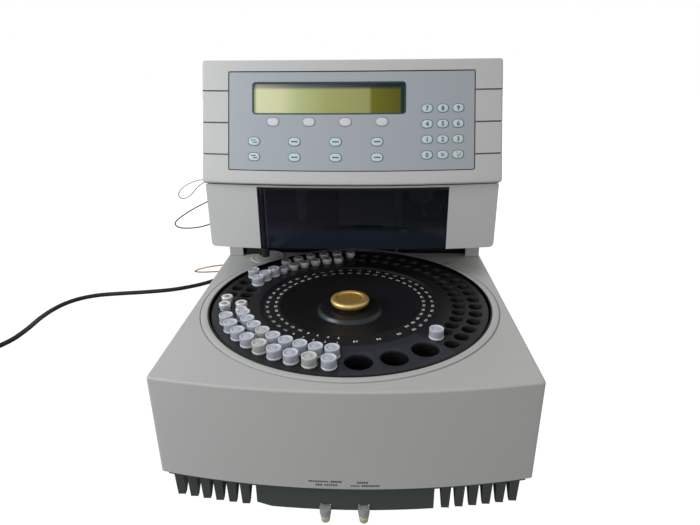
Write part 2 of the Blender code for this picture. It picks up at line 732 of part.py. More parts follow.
def key_outline(x, level, width, height):
    """A rounded key outline on the panel, as a squared ellipse."""
    points = []
    power = 2 / KEY_SQUARENESS
    reach = 2 * math.cos(math.pi / KEY_POINTS) ** power
    for i in range(KEY_POINTS):
        angle = math.tau * (i + 0.5) / KEY_POINTS
        across, up = math.cos(angle), math.sin(angle)
        points.append((
            x + width / reach * math.copysign(abs(across) ** power, across),
            level + height / reach * math.copysign(abs(up) ** power, up),
        ))
    return points


def key_places():
    """Every key as name, x, level, width and height."""
    places = []
    for i in range(SOFT_KEYS):
        x = SOFT_KEY_FIRST + i * SOFT_KEY_PITCH
        places.append((f"key_soft_{i + 1}", x, SOFT_KEY_LEVEL, SOFT_KEY_WIDTH, SOFT_KEY_HEIGHT))
    for row in range(2):
        for i in range(FUNCTION_KEY_COLUMNS):
            number = row * FUNCTION_KEY_COLUMNS + i + 1
            x = FUNCTION_KEY_FIRST + i * FUNCTION_KEY_PITCH
            level = FUNCTION_KEY_LEVEL - row * FUNCTION_KEY_STEP
            places.append((f"key_function_{number}", x, level, FUNCTION_KEY_WIDTH, FUNCTION_KEY_HEIGHT))
    for row, labels in enumerate(NUMBER_KEY_ROWS):
        for i, label in enumerate(labels):
            x = NUMBER_KEY_FIRST + i * NUMBER_KEY_PITCH
            level = NUMBER_KEY_LEVEL - row * NUMBER_KEY_STEP
            places.append((f"key_{label}", x, level, NUMBER_KEY_WIDTH, NUMBER_KEY_HEIGHT))
    return places


def panel_prism(outline, low, high):
    """An outline on the panel, raised square to it from low to high."""
    return loft([[panel_point(x, level, rise) for x, level in outline] for rise in (low, high)])


def make_base_cover(plastic):
    corner_y = FRONT_Y + COVER_BOW
    outline = bowed_outline(WIDTH / 2, corner_y, COVER_REAR_Y + CUT_OVERRUN, COVER_BOW, WIDTH / 2)
    cover = add_piece("base_cover", upright(outline, COVER_BOTTOM_Z, COVER_TOP_Z), plastic)
    round_edges(cover, COVER_EDGE_RADIUS)

    boss = [(0.0, COVER_TOP_Z - COVER_WALL / 2), (BOSS_RADIUS, COVER_TOP_Z - COVER_WALL / 2),
            (BOSS_RADIUS, COVER_TOP_Z + BOSS_RISE / 2), (BOSS_RADIUS - BOSS_RISE / 2, COVER_TOP_Z + BOSS_RISE),
            (0.0, COVER_TOP_Z + BOSS_RISE)]
    join(cover, turned(boss, (BOSS_X, COVER_REAR_Y - BOSS_INSET, 0.0), 24))
    cut(cover, block((-WIDTH, COVER_REAR_Y, COVER_BOTTOM_Z - CUT_OVERRUN),
                     (WIDTH, COVER_REAR_Y + WIDTH, COVER_TOP_Z + CUT_OVERRUN)))

    # The raised lip is a whole ring: behind the cover's edge it closes the well on its own.
    lip_radius = WELL_RADIUS + LIP_WIDTH
    lip_low = COVER_TOP_Z - COVER_WALL + LIP_RISE
    lip = [(0.0, lip_low), (lip_radius, lip_low), (lip_radius, COVER_TOP_Z + LIP_RISE / 3),
           (lip_radius - LIP_RISE, COVER_TOP_Z + LIP_RISE), (0.0, COVER_TOP_Z + LIP_RISE)]
    join(cover, turned(lip, (0.0, TRAY_Y, 0.0), WELL_SIDES))

    inner = bowed_outline(WIDTH / 2 - COVER_WALL, corner_y + COVER_WALL, COVER_REAR_Y + CUT_OVERRUN,
                          COVER_BOW, WIDTH / 2)
    cut(cover, upright(inner, COVER_BOTTOM_Z - CUT_OVERRUN, COVER_TOP_Z - COVER_WALL))
    well_low = COVER_TOP_Z - COVER_WALL - CUT_OVERRUN
    cut(cover, rod(WELL_RADIUS, (0.0, TRAY_Y, 0.0), well_low, COVER_TOP_Z + CUT_OVERRUN, WELL_SIDES))

    port_low = NEEDLE_TIP_Z - NEEDLE_STROKE - PORT_FLOOR
    port_high = COVER_TOP_Z + PORT_RISE
    join(cover, rod(PORT_RADIUS, (PORT_X, NEEDLE_Y, 0.0), port_low - PORT_FLOOR, port_high, 14))
    cut(cover, rod(PORT_BORE_RADIUS, (PORT_X, NEEDLE_Y, 0.0), port_low, port_high + CUT_OVERRUN, 12))
    return cover


def fin_shape(x):
    """A cooling fin: wide and deep under the cover, narrow and short at its foot."""
    top_z = PAN_FLOOR_Z + PAN_WALL / 2
    front_y = FRONT_Y + COVER_BOW - bow(x, WIDTH / 2, COVER_BOW) + SKIRT_RECESS
    rings = []
    for z, width, depth in ((SKIRT_BOTTOM_Z, FIN_BOTTOM_WIDTH, FIN_BOTTOM_DEPTH),
                            (top_z, FIN_TOP_WIDTH, FIN_TOP_DEPTH)):
        rings.append([(x - width / 2, front_y, z), (x + width / 2, front_y, z),
                      (x + width / 2, front_y + depth, z), (x - width / 2, front_y + depth, z)])
    return loft(rings)


def make_base_pan(casting):
    half = CASING_HALF_WIDTH - CASING_WALL - PAN_CLEARANCE
    corner_y = FRONT_Y + COVER_BOW + COVER_WALL + PAN_CLEARANCE
    rear_y = REAR_Y - REAR_PANEL_INSET - REAR_PANEL_WALL - SEAT_GAP
    outline = bowed_outline(half, corner_y, rear_y, COVER_BOW, WIDTH / 2)
    floor_top = PAN_FLOOR_Z + PAN_WALL
    pan = add_piece("base_pan", upright(outline, PAN_FLOOR_Z, floor_top + PAN_RIM_HEIGHT), casting)
    inner = bowed_outline(half - PAN_WALL, corner_y + PAN_WALL, rear_y - PAN_WALL, COVER_BOW, WIDTH / 2)
    cut(pan, upright(inner, floor_top, floor_top + PAN_RIM_HEIGHT + CUT_OVERRUN))

    overlap_z = PAN_FLOOR_Z + PAN_WALL / 2
    sections = []
    for x in columns(-SKIRT_HALF_WIDTH, SKIRT_HALF_WIDTH, BOW_COLUMNS):
        front = FRONT_Y + COVER_BOW - bow(x, WIDTH / 2, COVER_BOW) + SKIRT_RECESS
        foot, _ = rounded_span(x, -SKIRT_HALF_WIDTH, WIDTH, SKIRT_BOTTOM_Z, HEIGHT, SKIRT_CORNER)
        sections.append([(x, front, foot), (x, front, overlap_z), (x, front + SKIRT_WALL, overlap_z),
                         (x, front + SKIRT_WALL, foot)])
    join(pan, loft(sections))
    for i in range(FIN_COUNT):
        for side in (-1, 1):
            join(pan, fin_shape(side * (FIN_FIRST_X + i * FIN_PITCH)))
    for side in (-1, 1):
        edge = side * half
        inner_edge = side * (half - SIDE_SKIRT_WALL)
        join(pan, block((min(edge, inner_edge), SIDE_SKIRT_FRONT_Y, SKIRT_BOTTOM_Z),
                        (max(edge, inner_edge), rear_y - PAN_WALL, overlap_z)))
        for foot_y in (FOOT_FRONT_Y, FOOT_REAR_Y):
            foot = [(0.0, 0.0), (FOOT_RADIUS - PAN_WALL / 2, 0.0), (FOOT_RADIUS, PAN_WALL / 2),
                    (FOOT_RADIUS, overlap_z), (0.0, overlap_z)]
            join(pan, turned(foot, (side * (WIDTH / 2 - FOOT_INSET_X), foot_y, 0.0), FOOT_SIDES))
    bore = HUB_SHAFT_RADIUS + HUB_SHAFT_CLEARANCE
    bore_floor = BEARING_TOP_Z - BEARING_DEPTH
    post = [(0.0, overlap_z), (BEARING_RADIUS, overlap_z), (BEARING_RADIUS, BEARING_TOP_Z),
            (bore, BEARING_TOP_Z), (bore, bore_floor), (0.0, bore_floor)]
    join(pan, turned(post, (0.0, TRAY_Y, 0.0), 20))

    notch_half = NOZZLE_PIPE_RADIUS + NOTCH_CLEARANCE
    notch_top = NOZZLE_LEG_Z + notch_half
    notches = []
    for side in (-1, 1):
        x = side * NOZZLE_X
        notches.append(block((x - notch_half, FRONT_Y, SKIRT_BOTTOM_Z - CUT_OVERRUN),
                             (x + notch_half, FRONT_Y + SKIRT_RECESS + SKIRT_WALL + CUT_OVERRUN, notch_top)))
    cut(pan, gather(notches))
    return pan


def make_drain_nozzle(name, x, plastic):
    """A pipe from under the pan floor, forward through the skirt and down into a barb."""
    drop_y = FRONT_Y + NOZZLE_DROP_Y
    top_z = PAN_FLOOR_Z - SEAT_GAP
    barb_length = NOZZLE_LEG_Z - NOZZLE_END_Z
    profile = [(0.0, NOZZLE_END_Z)]
    for i in range(NOZZLE_BARBS):
        share = i / NOZZLE_BARBS
        low = NOZZLE_END_Z + barb_length * share
        high = low + barb_length / NOZZLE_BARBS
        radius = NOZZLE_TIP_RADIUS + (NOZZLE_BARB_RADIUS - NOZZLE_TIP_RADIUS) * share
        profile += [(max(radius * share, NOZZLE_NECK_RADIUS), low),
                    (radius + (NOZZLE_BARB_RADIUS - NOZZLE_TIP_RADIUS) / NOZZLE_BARBS, high)]
    head = NOZZLE_LEG_Z + NOZZLE_PIPE_RADIUS
    profile += [(NOZZLE_TIP_RADIUS, head), (0.0, head)]
    nozzle = add_piece(name, turned(profile, (x, drop_y, 0.0), NOZZLE_SIDES), plastic)
    join(nozzle, rod(NOZZLE_PIPE_RADIUS, (x, 0.0, NOZZLE_LEG_Z), drop_y, drop_y + NOZZLE_BACK, NOZZLE_SIDES, "Y"))
    join(nozzle, rod(NOZZLE_PIPE_RADIUS, (x, drop_y + NOZZLE_BACK - NOZZLE_PIPE_RADIUS, 0.0),
                     NOZZLE_LEG_Z - NOZZLE_PIPE_RADIUS, top_z, NOZZLE_SIDES))
    cut(nozzle, rod(NOZZLE_BORE_RADIUS, (x, drop_y, 0.0), NOZZLE_END_Z - CUT_OVERRUN,
                    NOZZLE_LEG_Z - NOZZLE_BORE_RADIUS, 10))
    return nozzle


def make_well_liner(plastic):
    outer = TRAY_RADIUS + TRAY_RIM_GAP + LINER_WALL
    inner = TRAY_RADIUS + TRAY_RIM_GAP
    top = COVER_TOP_Z - LINER_TOP_DROP
    hole = HUB_NECK_RADIUS + LINER_HUB_CLEARANCE
    collar_top = LINER_FLOOR_Z + LINER_FLOOR + LINER_HUB_COLLAR
    profile = [(hole, LINER_FLOOR_Z), (outer, LINER_FLOOR_Z), (outer, top), (inner + LINER_WALL / 4, top),
               (inner, LINER_FLOOR_Z + LINER_FLOOR), (hole + 2 * LINER_FLOOR, LINER_FLOOR_Z + LINER_FLOOR),
               (hole, collar_top)]
    return add_piece("well_liner", turned(profile, (0.0, TRAY_Y, 0.0), WELL_SIDES), plastic)


def socket_angles():
    """Angles of the small socket pairs, from the front towards +X."""
    pitch = math.tau / POSITIONS
    skipped = WIDE_GROUP_PLACES // 2
    return [WIDE_GROUP_ANGLE + pitch * (i + 0.5) for i in range(skipped, POSITIONS - skipped)]


def socket_centre(ring, angle):
    return (ring * math.sin(angle), TRAY_Y - ring * math.cos(angle), 0.0)


def make_sample_tray(plastic):
    top = TRAY_TOP_Z
    bore = HUB_SPIGOT_RADIUS + SLIDE_GAP
    band_z = top - 2 * TRAY_STEP
    ring = TRAY_RING_INNER
    web = TRAY_WEB
    profile = [
        (bore, top - TRAY_CENTRE_DEPTH), (HUB_RING_INNER - TRAY_STEP_WIDTH, top - TRAY_CENTRE_DEPTH),
        (HUB_RING_INNER, top - HUB_RING_DEPTH), (HUB_RING_OUTER - TRAY_STEP_WIDTH, top - HUB_RING_DEPTH),
        (HUB_RING_OUTER, top - DISH_DEPTH), (DISH_RADIUS, top - DISH_DEPTH), (NUMBER_BAND_INNER, band_z),
        (ring - 2 * TRAY_STEP_WIDTH, band_z), (ring - TRAY_STEP_WIDTH, top),
        (TRAY_RADIUS - TRAY_EDGE_CHAMFER, top), (TRAY_RADIUS, top - TRAY_EDGE_CHAMFER),
        (TRAY_RADIUS, TRAY_BOTTOM_Z), (ring, TRAY_BOTTOM_Z), (ring - TRAY_STEP_WIDTH, band_z - web),
        (NUMBER_BAND_INNER, band_z - web), (DISH_RADIUS, top - DISH_DEPTH - web), (bore, top - DISH_DEPTH - web),
    ]
    tray = add_piece("sample_tray", turned(profile, (0.0, TRAY_Y, 0.0), TRAY_SIDES), plastic,
                     (0.0, TRAY_Y, 0.0))
    pockets = []
    for angle in socket_angles():
        for ring_radius in (SOCKET_INNER_RING, SOCKET_OUTER_RING):
            pockets.append(rod(SOCKET_RADIUS, socket_centre(ring_radius, angle), top - SOCKET_DEPTH,
                               top + CUT_OVERRUN, SOCKET_SIDES))
    pitch = math.tau / POSITIONS
    for i in range(WIDE_SOCKETS):
        angle = WIDE_GROUP_ANGLE + pitch * WIDE_SOCKET_PLACES * (i - (WIDE_SOCKETS - 1) / 2)
        pockets.append(rod(WIDE_SOCKET_RADIUS, socket_centre(WIDE_SOCKET_RING, angle), top - SOCKET_DEPTH,
                           top + CUT_OVERRUN, WIDE_SOCKET_SIDES))
    cut(tray, gather(pockets))
    return tray


def make_tray_knob(gilt):
    top = COVER_TOP_Z + KNOB_TOP_RISE
    low = top - KNOB_THICKNESS
    foot = TRAY_TOP_Z - TRAY_CENTRE_DEPTH + SEAT_GAP
    profile = [
        (0.0, top - KNOB_DISH_DEPTH), (KNOB_DISH_RADIUS, top - KNOB_DISH_DEPTH),
        (KNOB_DISH_RADIUS + KNOB_EDGE, top), (KNOB_RADIUS - KNOB_EDGE, top - KNOB_EDGE / 4), (KNOB_RADIUS, top - KNOB_EDGE),
        (KNOB_RADIUS, low + KNOB_EDGE), (KNOB_RADIUS - KNOB_EDGE, low), (KNOB_NECK_RADIUS, low),
        (KNOB_NECK_RADIUS, foot), (HUB_SPIGOT_RADIUS + SLIDE_GAP, foot),
        (HUB_SPIGOT_RADIUS + SLIDE_GAP, low), (0.0, low),
    ]
    return add_piece("tray_knob", turned(profile, (0.0, TRAY_Y, 0.0), KNOB_SIDES), gilt, (0.0, TRAY_Y, low))


def gear_outline(teeth, centre, phase):
    """A spur gear's outline with straight-flanked teeth."""
    pitch_radius = GEAR_MODULE * teeth / 2
    tip = pitch_radius + GEAR_MODULE * TOOTH_TIP_MODULES
    root = pitch_radius - GEAR_MODULE * TOOTH_ROOT_MODULES
    wide, narrow = TOOTH_ROOT_HALF_SHARE, TOOTH_TIP_HALF_SHARE
    step = math.tau / teeth
    points = []
    for i in range(teeth):
        middle = phase + i * step
        for radius, half in ((root, wide), (tip, narrow), (tip, -narrow), (root, -wide)):
            angle = middle - step * (half - math.copysign(TOOTH_GAP_SHARE / 2, half))
            points.append((centre[0] + radius * math.cos(angle), centre[1] + radius * math.sin(angle)))
    return points


def make_tray_drive(steel, brass, black):
    hub_centre = (0.0, TRAY_Y)
    flange_top = TRAY_TOP_Z - DISH_DEPTH - TRAY_WEB - SEAT_GAP
    flange_low = flange_top - HUB_FLANGE_THICKNESS
    spigot_top = COVER_TOP_Z + KNOB_TOP_RISE - KNOB_THICKNESS - SEAT_GAP
    gear_top = GEAR_BOTTOM_Z + GEAR_WIDTH
    hub = add_piece("tray_hub", upright(gear_outline(GEAR_TEETH, hub_centre, 0.0), GEAR_BOTTOM_Z, gear_top),
                    steel, (0.0, TRAY_Y, GEAR_BOTTOM_Z))
    axle = [(0.0, HUB_SHAFT_BOTTOM_Z), (HUB_SHAFT_RADIUS, HUB_SHAFT_BOTTOM_Z),
            (HUB_SHAFT_RADIUS, GEAR_BOTTOM_Z + GEAR_WIDTH / 2), (HUB_NECK_RADIUS, GEAR_BOTTOM_Z + GEAR_WIDTH / 2),
            (HUB_NECK_RADIUS, flange_low), (HUB_FLANGE_RADIUS, flange_low), (HUB_FLANGE_RADIUS, flange_top),
            (HUB_SPIGOT_RADIUS, flange_top), (HUB_SPIGOT_RADIUS, spigot_top), (0.0, spigot_top)]
    join(hub, turned(axle, (0.0, TRAY_Y, 0.0), 20))

    centres = GEAR_MODULE * (GEAR_TEETH + PINION_TEETH) / 2
    x = centres * math.cos(MOTOR_DIRECTION)
    y = TRAY_Y + centres * math.sin(MOTOR_DIRECTION)
    mesh_phase = MOTOR_DIRECTION + math.pi + math.pi / PINION_TEETH
    pinion_low = GEAR_BOTTOM_Z - (PINION_WIDTH - GEAR_WIDTH) / 2
    floor_top = PAN_FLOOR_Z + PAN_WALL
    motor_low = floor_top + SEAT_GAP
    motor_top = MOTOR_TOP_Z
    pinion = add_piece("motor_pinion", upright(gear_outline(PINION_TEETH, (x, y), mesh_phase), motor_top + SEAT_GAP,
                                               pinion_low + PINION_WIDTH), brass, (x, y, pinion_low))
    join(pinion, rod(MOTOR_SHAFT_RADIUS, (x, y, 0.0), motor_top - MOTOR_SHAFT_DEPTH, pinion_low + PINION_WIDTH / 2, 12))

    edge = MOTOR_SHAFT_RADIUS
    can = [(0.0, motor_low), (MOTOR_RADIUS, motor_low), (MOTOR_RADIUS, motor_top - edge),
           (MOTOR_RADIUS - edge, motor_top), (0.0, motor_top)]
    motor = add_piece("tray_motor", turned(can, (x, y, 0.0), 20), black)
    cut(motor, rod(MOTOR_SHAFT_RADIUS + SEAT_GAP, (x, y, 0.0), motor_top - MOTOR_SHAFT_DEPTH - SEAT_GAP,
                   motor_top + CUT_OVERRUN, 12))
    return hub, pinion, motor


def cheek_front(x):
    return CHEEK_CORNER_Y - bow(x, CASING_HALF_WIDTH, CHEEK_BOW)


def housing_sections(low_x, high_x, inset, radius, bottom_z, rear_y):
    """Side profiles of the front housing, one for each column of its bowed front."""
    neck_y, neck_z = panel_point(0.0, 0.0, -BEZEL_DEPTH - SEAT_GAP - inset, False)[1:]
    top_z = CASING_TOP_Z - inset
    lean = (top_z - neck_z) * math.tan(PANEL_TILT)
    shoulder_front = PANEL_FOOT_Z - CHEEK_TOP_DROP - inset
    shoulder_rear = neck_z - CHEEK_TOP_DROP - inset
    sections = []
    turns = [radius * (1 - math.cos(math.pi / 2 * i / 4)) for i in range(5)] if radius > 0 else [0.0]
    middle = columns(low_x + radius, high_x - radius, BOW_COLUMNS)
    xs = [low_x + t for t in turns] + middle[1:-1] + [high_x - t for t in reversed(turns)]
    for x in xs:
        foot, _ = rounded_span(x, low_x, high_x, bottom_z, HEIGHT, radius)
        front = cheek_front(x) + inset
        sections.append([
            (x, front, foot), (x, front, shoulder_front), (x, neck_y, shoulder_rear),
            (x, neck_y + lean, top_z), (x, rear_y, top_z), (x, rear_y, foot),
        ])
    return sections


def door_top():
    return PANEL_FOOT_Z - DOOR_TOP_DROP


def make_front_housing(plastic):
    rear_y = CASING_FRONT_Y - SEAT_GAP
    outer = housing_sections(-CASING_HALF_WIDTH, CASING_HALF_WIDTH, 0.0, CHEEK_CORNER_RADIUS,
                             CHEEK_BOTTOM_Z, rear_y)
    housing = add_piece("front_housing", loft(outer), plastic)
    reach = CASING_HALF_WIDTH - HOUSING_WALL
    inner = housing_sections(-reach, reach, HOUSING_WALL, 0.0, CHEEK_BOTTOM_Z - CUT_OVERRUN,
                             rear_y + CUT_OVERRUN)
    cut(housing, loft(inner))
    opening_top = door_top() + DOOR_TOP_GAP
    front = CHEEK_CORNER_Y - CHEEK_BOW - CUT_OVERRUN
    cut(housing, block((DOOR_LEFT_X - DOOR_SIDE_GAP, front, CHEEK_BOTTOM_Z - CUT_OVERRUN),
                       (DOOR_RIGHT_X + DOOR_SIDE_GAP, CHEEK_CORNER_Y + HOUSING_WALL + CUT_OVERRUN, opening_top)))
    return housing


def hinge_place():
    x = DOOR_LEFT_X + DOOR_BARREL_RADIUS
    return x, cheek_front(x) + DOOR_RECESS + DOOR_THICKNESS / 2


def make_front_door(glazing, black):
    hinge_x, hinge_y = hinge_place()
    low_z, high_z = CHEEK_BOTTOM_Z + DOOR_RISE, door_top()
    front, back = [], []
    for x in columns(hinge_x, DOOR_RIGHT_X, BOW_COLUMNS):
        front.append((x, cheek_front(x) + DOOR_RECESS))
        back.append((x, cheek_front(x) + DOOR_RECESS + DOOR_THICKNESS))
    door = add_piece("front_window", upright(front + back[::-1], low_z, high_z), glazing,
                     (hinge_x, hinge_y, low_z))
    join(door, rod(DOOR_BARREL_RADIUS, (hinge_x, hinge_y, 0.0), low_z, high_z, 16))
    cut(door, rod(DOOR_BORE_RADIUS, (hinge_x, hinge_y, 0.0), low_z - CUT_OVERRUN, high_z + CUT_OVERRUN, 12))

    knuckle_top = low_z - SLIDE_GAP
    knuckle_low = knuckle_top - HINGE_KNUCKLE_HEIGHT
    hinge = add_piece("window_hinge", rod(HINGE_KNUCKLE_RADIUS, (hinge_x, hinge_y, 0.0), knuckle_low,
                                          knuckle_top, 16), black)
    pin_top = PANEL_FOOT_Z - CHEEK_TOP_DROP - HOUSING_WALL - SEAT_GAP
    join(hinge, rod(HINGE_PIN_RADIUS, (hinge_x, hinge_y, 0.0), knuckle_low + HINGE_PIN_RADIUS, pin_top, 12))
    edge_x = DOOR_LEFT_X - DOOR_SIDE_GAP
    tab_left = edge_x - HINGE_TAB_WIDTH
    tab_front = max(cheek_front(edge_x), cheek_front(tab_left)) + HOUSING_WALL + SEAT_GAP
    tab_back = tab_front + HINGE_TAB_THICKNESS
    join(hinge, block((tab_left, tab_front, knuckle_low + HINGE_PIN_RADIUS),
                      (edge_x, tab_back, CHEEK_BOTTOM_Z + HINGE_TAB_HEIGHT)))
    join(hinge, block((edge_x - HINGE_TAB_THICKNESS, hinge_y, knuckle_low + HINGE_PIN_RADIUS / 2),
                      (hinge_x, tab_back - HINGE_PIN_RADIUS / 2, knuckle_top - HINGE_PIN_RADIUS / 2)))
    return door, hinge


def bezel_section(x):
    """The bezel's side profile at x, with round front edges and a flat back."""
    edge = BEZEL_EDGE_RADIUS
    inside = min(WIDTH / 2 - abs(x), edge)
    sink = edge - math.sqrt(edge**2 - (edge - inside) ** 2)
    foot, head = rounded_span(x, -WIDTH / 2, WIDTH / 2, 0.0, PANEL_HEIGHT, BEZEL_CORNER_RADIUS)
    round_edge = []
    for angle in (0.0, math.pi / 4, math.pi / 2):
        round_edge.append((edge * (1 - math.cos(angle)), -sink - edge * (1 - math.sin(angle))))
    front = [panel_point(x, foot + inset, rise) for inset, rise in round_edge]
    front += [panel_point(x, head - inset, rise) for inset, rise in reversed(round_edge)]
    back = [panel_point(x, head, -BEZEL_DEPTH, False), panel_point(x, foot, -BEZEL_DEPTH, False)]
    return front + back


def make_panel_bezel(plastic):
    half = WIDTH / 2
    turns = [BEZEL_CORNER_RADIUS * (1 - math.cos(math.pi / 2 * i / 3)) for i in range(4)]
    middle = columns(-half + BEZEL_CORNER_RADIUS, half - BEZEL_CORNER_RADIUS, BOW_COLUMNS)
    xs = [-half + t for t in turns] + middle[1:-1] + [half - t for t in reversed(turns)]
    bezel = add_piece("panel_bezel", loft([bezel_section(x) for x in xs]), plastic)
    plate_back = -OVERLAY_SINK - OVERLAY_THICKNESS - SEAT_GAP - BEZEL_WALL
    reach = half - BEZEL_WALL
    cut(bezel, panel_slab(-reach, reach, BEZEL_WALL, PANEL_HEIGHT - BEZEL_WALL, plate_back,
                          -BEZEL_DEPTH - CUT_OVERRUN, flat_back=True))
    gap = OVERLAY_EDGE_GAP
    cut(bezel, panel_slab(-OVERLAY_HALF_WIDTH - gap, OVERLAY_HALF_WIDTH + gap, OVERLAY_LOW - gap,
                          OVERLAY_HIGH + gap, CUT_OVERRUN, plate_back + BEZEL_WALL, OVERLAY_CORNER))
    cut(bezel, panel_slab(SCREEN_LEFT, SCREEN_RIGHT, SCREEN_LOW, SCREEN_HIGH, CUT_OVERRUN,
                          plate_back - CUT_OVERRUN, count=8))
    fronts, sides = [], []
    for i in range(GROOVES):
        low = GROOVE_LOW + i * GROOVE_PITCH - GROOVE_HEIGHT / 2
        high = low + GROOVE_HEIGHT
        inner_x = OVERLAY_HALF_WIDTH + GROOVE_DEPTH
        for side in (-1, 1):
            xs = sorted((side * inner_x, side * (half + CUT_OVERRUN)))
            fronts.append(panel_slab(xs[0], xs[1], low, high, CUT_OVERRUN, -GROOVE_DEPTH, count=2))
            xs = sorted((side * (half - GROOVE_DEPTH), side * (half + CUT_OVERRUN)))
            sides.append(panel_slab(xs[0], xs[1], low, high, -GROOVE_DEPTH / 2, -BEZEL_DEPTH - CUT_OVERRUN,
                                    flat_back=True, count=1))
    cut(bezel, gather(fronts))
    cut(bezel, gather(sides))
    return bezel


def make_keypad(film, screen_glass, pale):
    overlay = add_piece("keypad_overlay", panel_slab(-OVERLAY_HALF_WIDTH, OVERLAY_HALF_WIDTH, OVERLAY_LOW,
                                                     OVERLAY_HIGH, -OVERLAY_SINK,
                                                     -OVERLAY_SINK - OVERLAY_THICKNESS, OVERLAY_CORNER), film)
    openings = [panel_slab(SCREEN_LEFT, SCREEN_RIGHT, SCREEN_LOW, SCREEN_HIGH, CUT_OVERRUN,
                           -OVERLAY_THICKNESS - CUT_OVERRUN, count=8)]
    floor = -OVERLAY_SINK - OVERLAY_THICKNESS - SEAT_GAP
    for name, x, level, width, height in key_places():
        hole = key_outline(x, level, width + 2 * KEY_CLEARANCE, height + 2 * KEY_CLEARANCE)
        openings.append(panel_prism(hole, -OVERLAY_THICKNESS - CUT_OVERRUN, CUT_OVERRUN))
        outline = key_outline(x, level, width, height)
        low = floor + SEAT_GAP + KEY_TRAVEL
        add_piece(name, panel_prism(outline, low, -OVERLAY_SINK + KEY_RISE), pale, panel_point(x, level, 0.0))
    cut(overlay, gather(openings))

    front = floor - BEZEL_WALL - SEAT_GAP
    screen = add_piece("display_module", panel_slab(SCREEN_LEFT - SCREEN_OVERLAP, SCREEN_RIGHT + SCREEN_OVERLAP,
                                                    SCREEN_LOW - SCREEN_OVERLAP, SCREEN_HIGH + SCREEN_OVERLAP,
                                                    front, front - SCREEN_THICKNESS, count=8), screen_glass)
    return overlay, screen


def arch(half, low, high, radius):
    """A front view of the casing: upright sides and round top corners."""
    outline = [(-half, low), (half, low)]
    for side in (1, -1):
        for i in range(4):
            angle = math.pi / 2 * i / 3
            if side < 0:
                angle = math.pi / 2 - angle
            outline.append((side * (half - radius + radius * math.cos(angle)),
                            high - radius + radius * math.sin(angle)))
    return outline


def at_casing(route):
    """A capillary's route, kept at the casing's front left edge as it was drawn."""
    across, back = -CASING_HALF_WIDTH - ROUTE_SIDE_X, CASING_FRONT_Y - ROUTE_FRONT_Y
    return [(x + across, y + back, z) for x, y, z in route]


def make_rear_casing(sheet):
    bottom_z = COVER_BOTTOM_Z
    step_y = COVER_REAR_Y + SEAT_GAP
    step_z = COVER_TOP_Z + SEAT_GAP
    half = CASING_HALF_WIDTH
    casing = add_piece("rear_casing", lengthwise(arch(half, bottom_z, CASING_TOP_Z, CASING_EDGE_RADIUS),
                                                 CASING_FRONT_Y, REAR_Y), sheet)
    cut(casing, block((-WIDTH, CASING_FRONT_Y - CUT_OVERRUN, bottom_z - CUT_OVERRUN),
                      (WIDTH, step_y, step_z)))
    reach = half - CASING_WALL
    behind_post = CASING_FRONT_Y + CASING_WALL
    cut(casing, lengthwise(arch(reach, bottom_z - CUT_OVERRUN, CASING_TOP_Z - CASING_WALL,
                                CASING_EDGE_RADIUS - CASING_WALL), behind_post, REAR_Y + CUT_OVERRUN))
    gap_half = half - POST_WIDTH
    cut(casing, block((-gap_half, CASING_FRONT_Y - CUT_OVERRUN, bottom_z - CUT_OVERRUN),
                      (gap_half, behind_post + CUT_OVERRUN, CASING_TOP_Z - POST_WIDTH)))
    vents = []
    for i in range(VENT_COUNT):
        low = VENT_FIRST_Z + i * VENT_PITCH
        y1 = REAR_Y - VENT_REAR_INSET
        for sign in (-1, 1):
            xs = sorted((sign * (reach - CUT_OVERRUN), sign * (half + CUT_OVERRUN)))
            vents.append(block((xs[0], y1 - VENT_LENGTH, low), (xs[1], y1, low + VENT_HEIGHT)))
    cut(casing, gather(vents))
    collars = []
    for route in (CLEAR_ROUTE, DARK_ROUTE, AMBER_ROUTE):
        for _, y, z in at_casing((route[0], route[-1])):
            collars.append(rod(COLLAR_RADIUS, (0.0, y, z), -half - COLLAR_LENGTH, -half + CASING_WALL / 2,
                               COLLAR_SIDES, "X"))
    join(casing, gather(collars))
    return casing


def make_mechanism_frame(metal):
    """The bulkhead behind the tray, with the arm's beam and the syringe clamps."""
    half = CASING_HALF_WIDTH - CASING_WALL - BULKHEAD_SIDE_GAP
    low = PAN_FLOOR_Z + PAN_WALL + SEAT_GAP
    rear = BULKHEAD_Y + BULKHEAD_WALL
    frame = add_piece("mechanism_frame", block((-half, BULKHEAD_Y, low + PAN_RIM_HEIGHT),
                                               (half, rear, BULKHEAD_TOP_Z)), metal)
    foot_half = half - PAN_WALL - PAN_CLEARANCE
    join(frame, block((-foot_half, BULKHEAD_Y, low), (foot_half, rear, low + PAN_RIM_HEIGHT + PAN_WALL)))
    join(frame, block((BEAM_LEFT_X, BULKHEAD_Y - BEAM_DEPTH, BEAM_BOTTOM_Z),
                      (BEAM_RIGHT_X, BULKHEAD_Y + BULKHEAD_WALL / 2, BEAM_BOTTOM_Z + BEAM_HEIGHT)))
    for z in (CLAMP_LOW_Z, CLAMP_HIGH_Z):
        join(frame, block((SYRINGE_X - CLAMP_WIDTH / 2, SYRINGE_Y, z),
                          (SYRINGE_X + CLAMP_WIDTH / 2, BULKHEAD_Y + BULKHEAD_WALL / 2, z + CLAMP_HEIGHT)))
    cut(frame, rod(SYRINGE_RADIUS + SEAT_GAP, (SYRINGE_X, SYRINGE_Y, 0.0), CLAMP_LOW_Z - CUT_OVERRUN,
                   CLAMP_HIGH_Z + CLAMP_HEIGHT + CUT_OVERRUN, 16))
    cut(frame, rod(ROTOR_SHAFT_RADIUS + ROTOR_SHAFT_CLEARANCE, (VALVE_X, 0.0, VALVE_Z),
                   BULKHEAD_Y - CUT_OVERRUN, rear + CUT_OVERRUN, 12, "Y"))
    return frame


